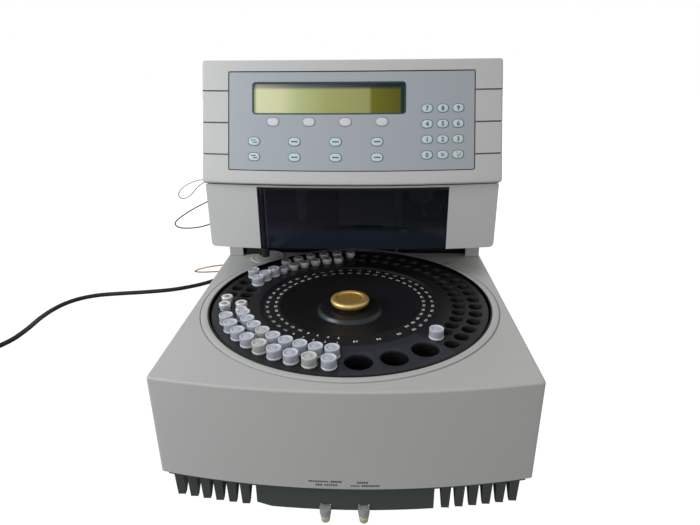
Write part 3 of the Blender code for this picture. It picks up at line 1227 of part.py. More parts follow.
def make_needle_unit(grey, steel):
    beam_front = BULKHEAD_Y - BEAM_DEPTH
    plate_back = beam_front - SEAT_GAP
    plate_front = plate_back - ARM_THICKNESS
    beam_top = BEAM_BOTTOM_Z + BEAM_HEIGHT
    right_x = NEEDLE_X - ARM_NEEDLE_OFFSET
    hook_low = beam_top + SEAT_GAP
    side = [(plate_front, ARM_BOTTOM_Z), (plate_front, hook_low + ARM_HOOK),
            (plate_back + ARM_HOOK_REACH, hook_low + ARM_HOOK), (plate_back + ARM_HOOK_REACH, hook_low),
            (plate_back, hook_low), (plate_back, ARM_BOTTOM_Z)]
    arm = add_piece("needle_arm", crosswise(side, right_x - ARM_WIDTH, right_x), grey,
                    (right_x, plate_back, hook_low))
    # The slider's rail is part of the arm: a fin at its right edge.
    rail_front = NEEDLE_Y + SLIDER_DEPTH / 2
    join(arm, block((right_x - SLIDER_WIDTH, rail_front + SEAT_GAP, ARM_BOTTOM_Z),
                    (NEEDLE_X + SLIDER_WIDTH / 2, plate_front + SLIDER_WIDTH / 4, hook_low)))

    slider = add_piece("needle_slider", block((NEEDLE_X - SLIDER_WIDTH / 2, NEEDLE_Y - SLIDER_DEPTH / 2,
                                               SLIDER_BOTTOM_Z),
                                              (NEEDLE_X + SLIDER_WIDTH / 2, rail_front,
                                               SLIDER_BOTTOM_Z + SLIDER_HEIGHT)), grey,
                       (NEEDLE_X, NEEDLE_Y, SLIDER_BOTTOM_Z))
    round_edges(slider, SLIDER_WIDTH / 10, 1)
    top = SLIDER_BOTTOM_Z - SEAT_GAP
    collar_low = top - NEEDLE_COLLAR_HEIGHT
    profile = [(0.0, NEEDLE_TIP_Z), (NEEDLE_RADIUS, NEEDLE_TIP_Z + 3 * NEEDLE_RADIUS),
               (NEEDLE_RADIUS, collar_low), (NEEDLE_COLLAR_RADIUS, collar_low + NEEDLE_RADIUS),
               (NEEDLE_COLLAR_RADIUS, top), (0.0, top)]
    needle = add_piece("needle", turned(profile, (NEEDLE_X, NEEDLE_Y, 0.0), 12), steel,
                       (NEEDLE_X, NEEDLE_Y, NEEDLE_TIP_Z))
    return arm, slider, needle


def make_injection_valve(steel, black):
    back = BULKHEAD_Y - SEAT_GAP
    face = back - VALVE_THICKNESS
    edge = VALVE_PORT_RADIUS / 2
    profile = [(0.0, face), (VALVE_RADIUS - edge, face), (VALVE_RADIUS, face + edge), (VALVE_RADIUS, back),
               (0.0, back)]
    valve = add_piece("injection_valve", turned(profile, (VALVE_X, 0.0, VALVE_Z), 20, "Y"), steel)
    for i in range(VALVE_PORTS):
        angle = math.tau * i / VALVE_PORTS
        centre = (VALVE_X + VALVE_PORT_RING * math.cos(angle), 0.0, VALVE_Z + VALVE_PORT_RING * math.sin(angle))
        join(valve, rod(VALVE_PORT_RADIUS, centre, face - VALVE_PORT_LENGTH, face + edge, 6, "Y"))
    cut(valve, rod(ROTOR_SHAFT_RADIUS + ROTOR_SHAFT_CLEARANCE, (VALVE_X, 0.0, VALVE_Z), face + VALVE_THICKNESS / 2,
                   back + CUT_OVERRUN, 12, "Y"))

    rear = BULKHEAD_Y + BULKHEAD_WALL + SEAT_GAP
    rotor = add_piece("valve_rotor", rod(ROTOR_RADIUS, (VALVE_X, 0.0, VALVE_Z), rear, rear + ROTOR_THICKNESS,
                                         16, "Y"), black, (VALVE_X, rear, VALVE_Z))
    join(rotor, rod(ROTOR_SHAFT_RADIUS, (VALVE_X, 0.0, VALVE_Z), face + VALVE_THICKNESS / 2 + SEAT_GAP,
                    rear + ROTOR_THICKNESS / 2, 12, "Y"))
    join(rotor, block((VALVE_X - ROTOR_LEVER_WIDTH / 2, rear + ROTOR_THICKNESS / 2, VALVE_Z),
                      (VALVE_X + ROTOR_LEVER_WIDTH / 2, rear + ROTOR_THICKNESS, VALVE_Z + ROTOR_LEVER)))
    return valve, rotor


def make_syringe(glass, steel):
    centre = (SYRINGE_X, SYRINGE_Y, 0.0)
    low, top = SYRINGE_BOTTOM_Z, SYRINGE_BOTTOM_Z + SYRINGE_LENGTH
    floor = low + SYRINGE_BASE
    profile = [(0.0, low), (SYRINGE_RADIUS / 2, low), (SYRINGE_RADIUS, floor), (SYRINGE_RADIUS, top),
               (SYRINGE_BORE, top), (SYRINGE_BORE, floor), (0.0, floor)]
    barrel = add_piece("syringe_barrel", turned(profile, centre, 16), glass)
    head_low = floor + SEAT_GAP
    rod_top = top + PLUNGER_STROKE / 2
    profile = [(0.0, head_low), (PLUNGER_RADIUS, head_low), (PLUNGER_RADIUS, head_low + PLUNGER_HEAD),
               (PLUNGER_ROD_RADIUS, head_low + PLUNGER_HEAD), (PLUNGER_ROD_RADIUS, rod_top - PLUNGER_GRIP),
               (PLUNGER_GRIP_RADIUS, rod_top - PLUNGER_GRIP), (PLUNGER_GRIP_RADIUS, rod_top), (0.0, rod_top)]
    plunger = add_piece("syringe_plunger", turned(profile, centre, 12), steel, (SYRINGE_X, SYRINGE_Y, head_low))
    return barrel, plunger


def make_rear_panel(sheet, black, fan_plastic):
    outer_y = REAR_Y - REAR_PANEL_INSET
    inner_y = outer_y - REAR_PANEL_WALL
    half = CASING_HALF_WIDTH - CASING_WALL - REAR_PANEL_EDGE_GAP
    low = COVER_BOTTOM_Z
    high = CASING_TOP_Z - CASING_WALL - REAR_PANEL_EDGE_GAP
    outline = arch(half, low, high, CASING_EDGE_RADIUS - CASING_WALL)
    panel = add_piece("rear_panel", lengthwise(outline, inner_y, outer_y), sheet)
    cut(panel, rod(FAN_OPENING, (FAN_X, 0.0, FAN_Z), inner_y - CUT_OVERRUN, outer_y + CUT_OVERRUN, 28, "Y"))
    for i in range(FAN_RINGS):
        radius = FAN_OPENING * (i + 1) / (FAN_RINGS + 1)
        ring = [(radius - FAN_BAR / 2, inner_y), (radius + FAN_BAR / 2, inner_y),
                (radius + FAN_BAR / 2, outer_y), (radius - FAN_BAR / 2, outer_y)]
        join(panel, turned(ring, (FAN_X, 0.0, FAN_Z), FAN_RING_SIDES, "Y"))
    # The bars stop short of the plate's faces, so that no two faces of the join coincide.
    inset = REAR_PANEL_WALL / 8
    reach = FAN_OPENING + FAN_BAR
    join(panel, block((FAN_X - reach, inner_y + inset, FAN_Z - FAN_BAR / 2),
                      (FAN_X + reach, outer_y - inset, FAN_Z + FAN_BAR / 2)))
    join(panel, block((FAN_X - FAN_BAR / 2, inner_y + 2 * inset, FAN_Z - reach),
                      (FAN_X + FAN_BAR / 2, outer_y - 2 * inset, FAN_Z + reach)))
    join(panel, rod(FAN_PIN_RADIUS, (FAN_X, 0.0, FAN_Z), inner_y - FAN_PIN_LENGTH, outer_y - 3 * inset, 12, "Y"))
    openings = []
    for x, width, height in ((INLET_X, INLET_WIDTH, INLET_HEIGHT), (SWITCH_X, SWITCH_WIDTH, SWITCH_HEIGHT)):
        gap = SWITCH_EDGE_GAP
        openings.append(block((x - width / 2 - SEAT_GAP, inner_y - CUT_OVERRUN, INLET_Z - height / 2 - gap),
                              (x + width / 2 + SEAT_GAP, outer_y + CUT_OVERRUN, INLET_Z + height / 2 + gap)))
    cut(panel, gather(openings))

    inlet = add_piece("mains_inlet", block(
        (INLET_X - INLET_WIDTH / 2, outer_y - INLET_DEPTH, INLET_Z - INLET_HEIGHT / 2),
        (INLET_X + INLET_WIDTH / 2, outer_y + SEAT_GAP + INLET_FLANGE_THICKNESS / 2,
         INLET_Z + INLET_HEIGHT / 2)), black)
    flange = INLET_FLANGE
    join(inlet, block((INLET_X - INLET_WIDTH / 2 - flange, outer_y + SEAT_GAP, INLET_Z - INLET_HEIGHT / 2 - flange),
                      (INLET_X + INLET_WIDTH / 2 + flange, outer_y + SEAT_GAP + INLET_FLANGE_THICKNESS,
                       INLET_Z + INLET_HEIGHT / 2 + flange)))
    wall = INLET_WALL
    cut(inlet, block((INLET_X - INLET_WIDTH / 2 + wall, outer_y - INLET_RECESS, INLET_Z - INLET_HEIGHT / 2 + wall),
                     (INLET_X + INLET_WIDTH / 2 - wall, outer_y + CUT_OVERRUN, INLET_Z + INLET_HEIGHT / 2 - wall)))

    hub_back = inner_y - SEAT_GAP
    hub_front = hub_back - FAN_HUB_DEPTH
    rotor = add_piece("cooling_fan", rod(FAN_HUB_RADIUS, (FAN_X, 0.0, FAN_Z), hub_front, hub_back, 20, "Y"),
                      fan_plastic, (FAN_X, hub_back, FAN_Z))
    for i in range(FAN_BLADES):
        join(rotor, blade_shape(math.tau * i / FAN_BLADES, (hub_front + hub_back) / 2))
    cut(rotor, rod(FAN_PIN_RADIUS + SEAT_GAP, (FAN_X, 0.0, FAN_Z), hub_back - FAN_PIN_LENGTH - SEAT_GAP,
                   hub_back + CUT_OVERRUN, 12, "Y"))

    face_y = outer_y + INLET_FLANGE_THICKNESS
    half = SWITCH_HEIGHT / 2
    back_y = outer_y - SWITCH_DEPTH
    rocker = [(back_y, INLET_Z - half + SWITCH_TAPER), (back_y, INLET_Z + half - SWITCH_TAPER),
              (outer_y - REAR_PANEL_WALL, INLET_Z + half), (face_y, INLET_Z + half),
              (face_y - SWITCH_FACE_TILT, INLET_Z), (face_y - SWITCH_FACE_TILT, INLET_Z - half),
              (outer_y - REAR_PANEL_WALL, INLET_Z - half)]
    switch = add_piece("power_switch", crosswise(rocker, SWITCH_X - SWITCH_WIDTH / 2, SWITCH_X + SWITCH_WIDTH / 2),
                       black, (SWITCH_X, outer_y - REAR_PANEL_WALL / 2, INLET_Z))
    return panel, inlet, rotor, switch


def blade_shape(turn, middle_y):
    """One twisted fan blade, from inside the hub to the tip."""
    rings = []
    for radius, sweep_share in ((FAN_BLADE_ROOT, FAN_ROOT_SWEEP), (FAN_TIP_RADIUS, FAN_TIP_SWEEP)):
        half = FAN_BLADE_DEPTH / 2
        sweep = half * math.tan(FAN_BLADE_TWIST) * sweep_share
        ring = []
        for across, along in ((-sweep, -half), (-sweep + FAN_BLADE_WALL, -half), (sweep, half),
                              (sweep - FAN_BLADE_WALL, half)):
            x = radius * math.cos(turn) - across * math.sin(turn)
            z = radius * math.sin(turn) + across * math.cos(turn)
            ring.append((FAN_X + x, middle_y + along, FAN_Z + z))
        rings.append(ring)
    return loft(rings)


def make_mains_lead(rubber):
    outer_y = REAR_Y - REAR_PANEL_INSET
    start = Vector(LEAD_ROUTE[0])
    nose = outer_y - INLET_RECESS + SEAT_GAP
    body_end = nose + CONNECTOR_LENGTH
    connector = add_piece("lead_connector", block(
        (INLET_X - CONNECTOR_WIDTH / 2, nose, INLET_Z - CONNECTOR_HEIGHT / 2),
        (INLET_X + CONNECTOR_WIDTH / 2, body_end, INLET_Z + CONNECTOR_HEIGHT / 2)), rubber)
    round_edges(connector, RELIEF_TIP_RADIUS / 4, 1)
    relief_end = start.y - SEAT_GAP
    relief = [(0.0, body_end - RELIEF_TIP_RADIUS), (RELIEF_ROOT_RADIUS, body_end - RELIEF_TIP_RADIUS),
              (RELIEF_TIP_RADIUS, relief_end), (0.0, relief_end)]
    join(connector, turned(relief, (INLET_X, 0.0, INLET_Z), 16, "Y"))

    points, length = smooth_route(LEAD_ROUTE, LEAD_POINTS)
    route = [Vector((point.x, point.y, max(point.z, LEAD_REST_Z))) for point in points]
    tube("mains_lead", route, LEAD_RADIUS, rubber, LEAD_BEND_SIDES)
    heading = (route[-1] - route[-2]).normalized()
    coil = coil_points(route[-1] + heading * SEAT_GAP, heading)
    tube("mains_lead_coil", coil, LEAD_RADIUS, rubber, 1)
    coiled = sum((b - a).length for a, b in zip(coil, coil[1:]))
    print(f"mains lead {length:.3f} m free, {coiled:.3f} m coiled, least gap {coil_gap(coil) * 1000:.2f} mm")
    make_mains_plug(coil[-1] + heading * SEAT_GAP, math.atan2(heading.y, heading.x), rubber)


def coil_points(entry, heading):
    """Turns of the unseen lead: in to the middle in one layer, then out again above it."""
    straight = 2 * LEAD_RADIUS
    outer = COIL_MIDDLE_RADIUS + COIL_PITCH * COIL_TURNS / 4
    first = entry + heading * straight
    centre = first + Vector((heading.y, -heading.x, 0.0)) * outer
    start = math.atan2(first.y - centre.y, first.x - centre.x)
    points = [entry]
    for i in range(COIL_TURNS * COIL_TURN_POINTS + 1):
        turn = i / COIL_TURN_POINTS
        radius = outer - COIL_PITCH * min(turn, COIL_TURNS - turn)
        climb = min(max((turn - COIL_TURNS / 2) * 2 + 0.5, 0.0), 1.0)
        angle = start - math.tau * turn
        offset = Vector((radius * math.cos(angle), radius * math.sin(angle), COIL_LAYER * climb))
        points.append(centre + offset)
    points.append(points[-1] + heading * COIL_TAIL)
    return points


def coil_gap(points):
    """The least gap between two turns of the coil, measured from point to stretch."""
    least = math.inf
    skip = COIL_TURN_POINTS // 3
    for i, point in enumerate(points):
        for near, far in zip(points[i + skip:], points[i + skip + 1:]):
            run = far - near
            share = min(max((point - near).dot(run) / run.length_squared, 0.0), 1.0)
            least = min(least, (near + run * share - point).length)
    return least - 2 * LEAD_RADIUS


def carried(shape, origin, angle):
    """A shape modelled along X, turned about Z and moved to where it lies."""
    bmesh.ops.rotate(shape, verts=shape.verts, matrix=Matrix.Rotation(angle, 3, "Z"))
    bmesh.ops.translate(shape, verts=shape.verts, vec=origin)
    return shape


def make_mains_plug(origin, angle, rubber):
    relief = [(0.0, 0.0), (RELIEF_TIP_RADIUS, 0.0), (RELIEF_ROOT_RADIUS, RELIEF_LENGTH),
              (RELIEF_ROOT_RADIUS, RELIEF_LENGTH + PLUG_LENGTH / 4), (0.0, RELIEF_LENGTH + PLUG_LENGTH / 4)]
    plug = add_piece("mains_plug", carried(turned(relief, (0.0, 0.0, 0.0), 12, "X"), origin, angle), rubber)
    rings = []
    for along, share in ((0.0, PLUG_WAIST), (PLUG_LENGTH / 2, 1.0), (PLUG_LENGTH, 1.0)):
        half_width, half_height = PLUG_WIDTH / 2 * share, PLUG_HEIGHT / 2 * share
        corner = half_height / 2
        outline = [(half_width - corner, half_height), (half_width, half_height - corner)]
        outline += [(y, -z) for y, z in reversed(outline)]
        outline += [(-y, z) for y, z in reversed(outline)]
        rings.append([(RELIEF_LENGTH + along, y, z) for y, z in outline])
    join(plug, carried(loft(rings), origin, angle))
    face = RELIEF_LENGTH + PLUG_LENGTH
    for side in (-1, 1):
        y = side * BLADE_SPACING / 2
        join(plug, carried(block((face - BLADE_WIDTH, y - BLADE_THICKNESS / 2, -BLADE_WIDTH / 2),
                                 (face + BLADE_LENGTH, y + BLADE_THICKNESS / 2, BLADE_WIDTH / 2)), origin, angle))
    return plug


def make_capillaries(clear, dark, amber):
    for name, route, material in (("capillary_clear", CLEAR_ROUTE, clear), ("capillary_dark", DARK_ROUTE, dark),
                                  ("capillary_amber", AMBER_ROUTE, amber)):
        points, length = smooth_route(at_casing(route), CAPILLARY_POINTS)
        tube(name, points, CAPILLARY_RADIUS, material, 2)
        print(f"{name} {length:.3f} m")


def build():
    clear_scene()
    grey = finish("grey_moulding", (0.42, 0.43, 0.40), 0.5)
    pale_grey = finish("pale_moulding", (0.55, 0.55, 0.54), 0.5)
    dark = finish("dark_casting", (0.05, 0.06, 0.058), 0.55)
    black = finish("black_moulding", (0.012, 0.012, 0.014), 0.4)
    tray_black = finish("tray_black", (0.015, 0.015, 0.018), 0.35)
    gilt = finish("gilt_metal", (0.72, 0.47, 0.14), 0.25, 1.0)
    steel = finish("steel", (0.6, 0.6, 0.62), 0.3, 1.0)
    brass = finish("brass", (0.66, 0.5, 0.24), 0.3, 1.0)
    glazing = finish("smoked_glazing", (0.01, 0.012, 0.03), 0.08, 0.0, 0.6)
    film = finish("keypad_film", (0.33, 0.39, 0.43), 0.45)
    screen_glass = finish("display_green", (0.45, 0.44, 0.10), 0.2)
    key_white = finish("key_white", (0.62, 0.68, 0.68), 0.45)
    nozzle_plastic = finish("natural_nylon", (0.5, 0.48, 0.4), 0.4)
    glass = finish("syringe_glass", (0.8, 0.85, 0.85), 0.05, 0.0, 0.5)
    rubber = finish("lead_rubber", (0.012, 0.012, 0.013), 0.6)
    clear = finish("clear_tube", (0.75, 0.77, 0.76), 0.2, 0.0, 0.6)
    dark_tube = finish("dark_tube", (0.08, 0.06, 0.05), 0.3)
    amber = finish("amber_tube", (0.45, 0.22, 0.08), 0.3)

    make_base_cover(grey)
    make_base_pan(dark)
    make_drain_nozzle("drain_nozzle_left", -NOZZLE_X, nozzle_plastic)
    make_drain_nozzle("drain_nozzle_right", NOZZLE_X, nozzle_plastic)
    make_well_liner(black)
    make_sample_tray(tray_black)
    make_tray_knob(gilt)
    make_tray_drive(steel, brass, black)
    make_front_housing(grey)
    make_front_door(glazing, black)
    make_panel_bezel(pale_grey)
    make_keypad(film, screen_glass, key_white)
    make_rear_casing(grey)
    make_mechanism_frame(black)
    make_needle_unit(black, steel)
    make_injection_valve(steel, black)
    make_syringe(glass, steel)
    make_rear_panel(dark, black, black)
    make_mains_lead(rubber)
    make_capillaries(clear, dark_tube, amber)


build()
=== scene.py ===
import math

import bmesh
import bpy
import numpy as np
from mathutils import Matrix, Vector


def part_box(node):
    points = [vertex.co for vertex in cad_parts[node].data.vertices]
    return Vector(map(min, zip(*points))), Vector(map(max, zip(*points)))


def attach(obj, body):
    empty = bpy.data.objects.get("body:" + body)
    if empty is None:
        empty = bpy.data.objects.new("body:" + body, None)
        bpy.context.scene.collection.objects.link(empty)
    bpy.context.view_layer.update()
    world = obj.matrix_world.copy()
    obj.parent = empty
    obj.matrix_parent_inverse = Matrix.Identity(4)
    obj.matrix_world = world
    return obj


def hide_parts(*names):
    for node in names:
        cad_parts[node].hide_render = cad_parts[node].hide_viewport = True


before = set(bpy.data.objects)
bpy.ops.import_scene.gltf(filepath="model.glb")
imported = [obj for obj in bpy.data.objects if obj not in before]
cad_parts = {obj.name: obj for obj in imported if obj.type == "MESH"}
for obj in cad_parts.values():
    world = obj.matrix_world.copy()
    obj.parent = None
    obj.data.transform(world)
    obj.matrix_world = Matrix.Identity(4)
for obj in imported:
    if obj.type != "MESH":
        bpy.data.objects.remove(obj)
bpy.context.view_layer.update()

# Camera
# The photograph's own viewpoint: in front of the instrument, a little above its panel, looking
# down on the tray. It follows from the corners of the panel and of the cover.
EYE = (0.018731, -0.610639, 0.369317)
YAW, DOWN, ROLL = math.radians(-2.194), math.radians(21.658), math.radians(-0.53)
FOCAL_PIXELS, FRAME_PIXELS = 536.628, 700

ahead = Vector((math.sin(YAW) * math.cos(DOWN), math.cos(YAW) * math.cos(DOWN), -math.sin(DOWN)))
level_right = Vector((math.cos(YAW), -math.sin(YAW), 0))
level_up = level_right.cross(ahead)
right = level_right * math.cos(ROLL) + level_up * math.sin(ROLL)
up = level_up * math.cos(ROLL) - level_right * math.sin(ROLL)
lens = bpy.data.cameras.new("camera")
lens.sensor_width = 36
lens.lens = lens.sensor_width * FOCAL_PIXELS / FRAME_PIXELS
camera = bpy.data.objects.new("camera", lens)
camera.matrix_world = Matrix.Translation(EYE) @ Matrix((right, up, -ahead)).transposed().to_4x4()
bpy.context.scene.collection.objects.link(camera)
bpy.context.scene.camera = camera


# Bench and light
# A pale bench top under plain soft studio light: a cool lamp at the upper left, weak ones in front
# and behind, and a white surround. The bench shows white, with the instrument's own shadow.
BENCH_SIZE = 8.0
BENCH_NEAR, BENCH_FAR, PLAIN_NEAR = 0.45, 0.80, 0.78
BENCH_GLOW = 1.3
SURROUND = 0.47
LAMPS = (
    ((-1.15, -0.55, 0.95), (0.0, -0.1, 0.2), 0.6, 10.6, (0.95, 0.99, 1.06)),
    ((-0.2, -1.7, 0.7), (0.0, -0.2, 0.1), 1.0, 2.5, (1.0, 1.0, 1.0)),
    ((0.0, 1.8, 0.55), (0.0, 0.2, 0.15), 1.0, 9.0, (1.0, 1.0, 1.0)),
)


def shade(red, green, blue):
    """A screen colour, 0 to 255, as the linear colour that a shader takes."""
    share = np.array([red, green, blue]) / 255
    return tuple(np.where(share <= 0.04045, share / 12.92, ((share + 0.055) / 1.055) ** 2.4))


class Field:
    """A value that varies over a surface: a node socket, whose arithmetic adds Math nodes."""

    def __init__(self, tree, socket):
        self.tree = tree
        self.socket = socket

    def node(self, kind, settings=(), inputs=(), output=0):
        """A new node: first its settings, then its sockets' values or links. Gives one output."""
        made = self.tree.nodes.new("ShaderNode" + kind)
        for key, value in dict(settings).items():
            if key == "stops":
                ramp = made.color_ramp
                while len(ramp.elements) < len(value):
                    ramp.elements.new(1.0)
                for stop, (position, colour) in zip(ramp.elements, value):
                    stop.position = position
                    stop.color = (*colour, 1)
            else:
                setattr(made, key, value)
        for key, value in dict(inputs).items():
            if isinstance(value, Field):
                self.tree.links.new(value.socket, made.inputs[key])
            elif getattr(made.inputs[key], "type", "") == "RGBA" and len(value) == 3:
                made.inputs[key].default_value = (*value, 1)
            else:
                made.inputs[key].default_value = value
        return Field(self.tree, made.outputs[output])

    def math(self, operation, *values, clamp=False):
        return self.node("Math", {"operation": operation, "use_clamp": clamp}, enumerate(values))

    def __add__(self, other):
        return self.math("ADD", self, other)

    def __radd__(self, other):
        return self.math("ADD", other, self)

    def __sub__(self, other):
        return self.math("SUBTRACT", self, other)

    def __rsub__(self, other):
        return self.math("SUBTRACT", other, self)

    def __mul__(self, other):
        return self.math("MULTIPLY", self, other)

    def __rmul__(self, other):
        return self.math("MULTIPLY", other, self)

    def __truediv__(self, other):
        return self.math("DIVIDE", self, other)

    def __abs__(self):
        return self.math("ABSOLUTE", self)

    def clamped(self):
        """This value, held between 0 and 1."""
        return self.math("ADD", self, 0.0, clamp=True)

    def root(self):
        return self.math("SQRT", self)

    def wave(self):
        """The sine of this value."""
        return self.math("SINE", self)

    def larger(self, other):
        return self.math("MAXIMUM", self, other)

    def smaller(self, other):
        return self.math("MINIMUM", self, other)

    def noise(self, scale, detail=2.0, rough=0.5):
        """Soft random variation, 0 to 1, of this many lumps a metre."""
        sockets = {"Vector": self, "Scale": scale, "Detail": detail, "Roughness": rough}
        return self.node("TexNoise", {}, sockets)

    def parts(self):
        """The three numbers of a vector."""
        return [self.node("SeparateXYZ", {}, {0: self}, i) for i in range(3)]

    def mix(self, low, high):
        """From one colour to another, as this value goes from 0 to 1."""
        return self.node("Mix", {"data_type": "RGBA"}, {0: self, 6: low, 7: high}, 2)

    def ramp(self, *stops):
        return self.node("ValToRGB", {"stops": stops}, {0: self})

    def bump(self, distance, strength=1.0):
        """This value as relief of so many metres, as a normal."""
        return self.node("Bump", {}, {"Height": self, "Distance": distance, "Strength": strength})


def finish(name, colour, roughness, **constants):
    """A Principled material with its constants, and a way to add what varies over it."""
    material = bpy.data.materials.new(name)
    material.use_nodes = True
    tree = material.node_tree
    shader = tree.nodes["Principled BSDF"]
    values = {"Base Color": (*colour, 1), "Roughness": roughness}
    for key, value in constants.items():
        values[key.replace("_", " ").title().replace("Ior", "IOR")] = value
    for key, value in values.items():
        shader.inputs[key].default_value = value
    place = Field(tree, tree.nodes.new("ShaderNodeTexCoord").outputs["Object"])

    def vary(**fields):
        for key, field in fields.items():
            tree.links.new(field.socket, shader.inputs[key.replace("_", " ").title()])

    return material, place, vary


def studio():
    """White for the eye and through glass, softer for mirrors and for what lights the object."""
    world = bpy.data.worlds.new("surround")
    bpy.context.scene.world = world
    world.use_nodes = True
    tree = world.node_tree
    light = tree.nodes["Background"]
    rays = Field(tree, tree.nodes.new("ShaderNodeLightPath").outputs["Is Camera Ray"])
    glossy = Field(tree, rays.socket.node.outputs["Is Glossy Ray"])
    clear = Field(tree, rays.socket.node.outputs["Is Transmission Ray"])
    seen = (rays + glossy * 0.1 + clear).clamped()
    tree.links.new((seen * (1.0 - SURROUND) + SURROUND).socket, light.inputs["Strength"])
    light.inputs["Color"].default_value = (1, 1, 1, 1)
    for index, (place, target, size, power, colour) in enumerate(LAMPS):
        lamp = bpy.data.lights.new(f"lamp_{index + 1}", "AREA")
        lamp.size = size
        lamp.energy = power
        lamp.color = colour
        holder = bpy.data.objects.new(lamp.name, lamp)
        holder.location = place
        holder.rotation_euler = (Vector(target) - Vector(place)).to_track_quat("-Z", "Y").to_euler()
        bpy.context.scene.collection.objects.link(holder)


def bench():
    """A flat square, drawn as plain white for the eye, and near the object as paint for its shadow."""
    half = BENCH_SIZE / 2
    mesh = bpy.data.meshes.new("bench")
    corners = [(-half, -half, 0), (half, -half, 0), (half, half, 0), (-half, half, 0)]
    mesh.from_pydata(corners, [], [(0, 1, 2, 3)])
    top = bpy.data.objects.new("bench", mesh)
    bpy.context.scene.collection.objects.link(top)
    material, place, _ = finish("bench_white", shade(160, 160, 160), 0.8)
    tree = material.node_tree
    glow = place.node("Emission", {}, {"Color": (1.0, 1.0, 1.0), "Strength": BENCH_GLOW})
    rays = Field(tree, tree.nodes.new("ShaderNodeLightPath").outputs["Is Camera Ray"])
    painted = Field(tree, tree.nodes["Principled BSDF"].outputs[0])
    x, y, _ = place.parts()
    share = (((x * x + y * y).root() - BENCH_NEAR) / (BENCH_FAR - BENCH_NEAR)).clamped()
    plain = share * (1.0 - PLAIN_NEAR) + PLAIN_NEAR
    both = place.node("MixShader", {}, {0: rays * plain, 1: painted, 2: glow})
    tree.links.new(both.socket, tree.nodes["Material Output"].inputs["Surface"])
    mesh.materials.append(material)


bpy.context.scene.view_settings.view_transform = "Standard"
studio()
bench()


# Mains lead
# A round three-core lead in black rubber, plugged in at the rear, lying along the bench to the
# left. What the photograph doesn't show is wound into a coil held by a strap, just outside it.
LEAD_RADIUS, LEAD_REST, LEAD_GAP = 0.00325, 0.0034, 0.0003
LEAD_FALL = (
    (-0.1000, 0.3500, 0.0850), (-0.1000, 0.3570, 0.0850), (-0.1025, 0.3800, 0.0770),
    (-0.1130, 0.4000, 0.0550), (-0.1300, 0.4070, 0.0290), (-0.1500, 0.3960, 0.0110),
    (-0.1710, 0.3700, 0.0042),
)
LEAD_ON_BENCH = (
    (-0.1900, 0.3330), (-0.2080, 0.2900), (-0.2280, 0.2500), (-0.2514, 0.2190), (-0.2750, 0.2005),
    (-0.3050, 0.1855), (-0.3438, 0.1757), (-0.3871, 0.1684), (-0.4170, 0.1620), (-0.4400, 0.1500),
    (-0.4555, 0.1320), (-0.4640, 0.1090), (-0.4675, 0.0820), (-0.4670, 0.0500), (-0.4694, 0.0208),
    (-0.4770, 0.0010), (-0.4880, -0.0180), (-0.5000, -0.0380), (-0.5080, -0.0515),
)
LEAD_ROUTE = np.array([*LEAD_FALL, *((x, y, LEAD_REST) for x, y in LEAD_ON_BENCH)])
COIL_TURNS, COIL_RADIUS, COIL_PITCH, COIL_LAYER, COIL_TAIL = 3, 0.0370, 0.0073, 0.0071, 0.036
WELD = 1e-6


def surface(name, patches, body, *materials, sharp=35, paint=None, marks=None):
    """One closed mesh from grids of points, each an array of rows, columns and x, y, z. Points
    that meet are welded, squares with a side of no length become triangles, and every face is
    turned outwards. paint gives a patch its material, marks gives its points a place to print by."""
    points = np.concatenate([patch.reshape(-1, 3) for patch in patches])
    corners, inks, start = [], [], 0
    for index, patch in enumerate(patches):
        rows, columns = patch.shape[:2]
        at = start + np.arange(rows * columns).reshape(rows, columns)
        squares = np.stack([at[:-1, :-1], at[1:, :-1], at[1:, 1:], at[:-1, 1:]], -1).reshape(-1, 4)
        corners.append(squares)
        inks.append(np.full(len(squares), paint[index] if paint else 0))
        start += rows * columns
    keys = np.round(points / WELD).astype(np.int64)
    _, first, welded = np.unique(keys, axis=0, return_index=True, return_inverse=True)
    corners = welded.reshape(-1)[np.concatenate(corners)]
    kept = corners != np.roll(corners, -1, axis=1)
    sizes = kept.sum(1)
    real = sizes > 2
    loops, sizes = corners[real][kept[real]], sizes[real]
    mesh = bpy.data.meshes.new(name)
    mesh.vertices.add(len(first))
    mesh.vertices.foreach_set("co", points[first].ravel())
    mesh.loops.add(len(loops))
    mesh.loops.foreach_set("vertex_index", loops.astype(np.int32))
    mesh.polygons.add(len(sizes))
    mesh.polygons.foreach_set("loop_start", np.concatenate([[0], np.cumsum(sizes)[:-1]]).astype(np.int32))
    mesh.polygons.foreach_set("material_index", np.concatenate(inks)[real].astype(np.int32))
    if marks is not None:
        spots = np.concatenate([mark.reshape(-1, 3) for mark in marks])[first]
        mesh.attributes.new("spot", "FLOAT_VECTOR", "POINT").data.foreach_set("vector", spots.ravel())
    mesh.update(calc_edges=True)
    return placed(name, mesh, body, *materials, sharp=sharp)


def placed(name, mesh, body, *materials, sharp=35):
    """A mesh as a piece that rides on a body, its faces outwards and its curves smooth."""
    shape = bmesh.new()
    shape.from_mesh(mesh)
    bmesh.ops.recalc_face_normals(shape, faces=shape.faces)
    shape.to_mesh(mesh)
    shape.free()
    for material in materials:
        mesh.materials.append(material)
    mesh.shade_smooth()
    mesh.set_sharp_from_angle(angle=math.radians(sharp))
    piece = bpy.data.objects.new(name, mesh)
    bpy.context.scene.collection.objects.link(piece)
    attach(piece, body)
    return piece


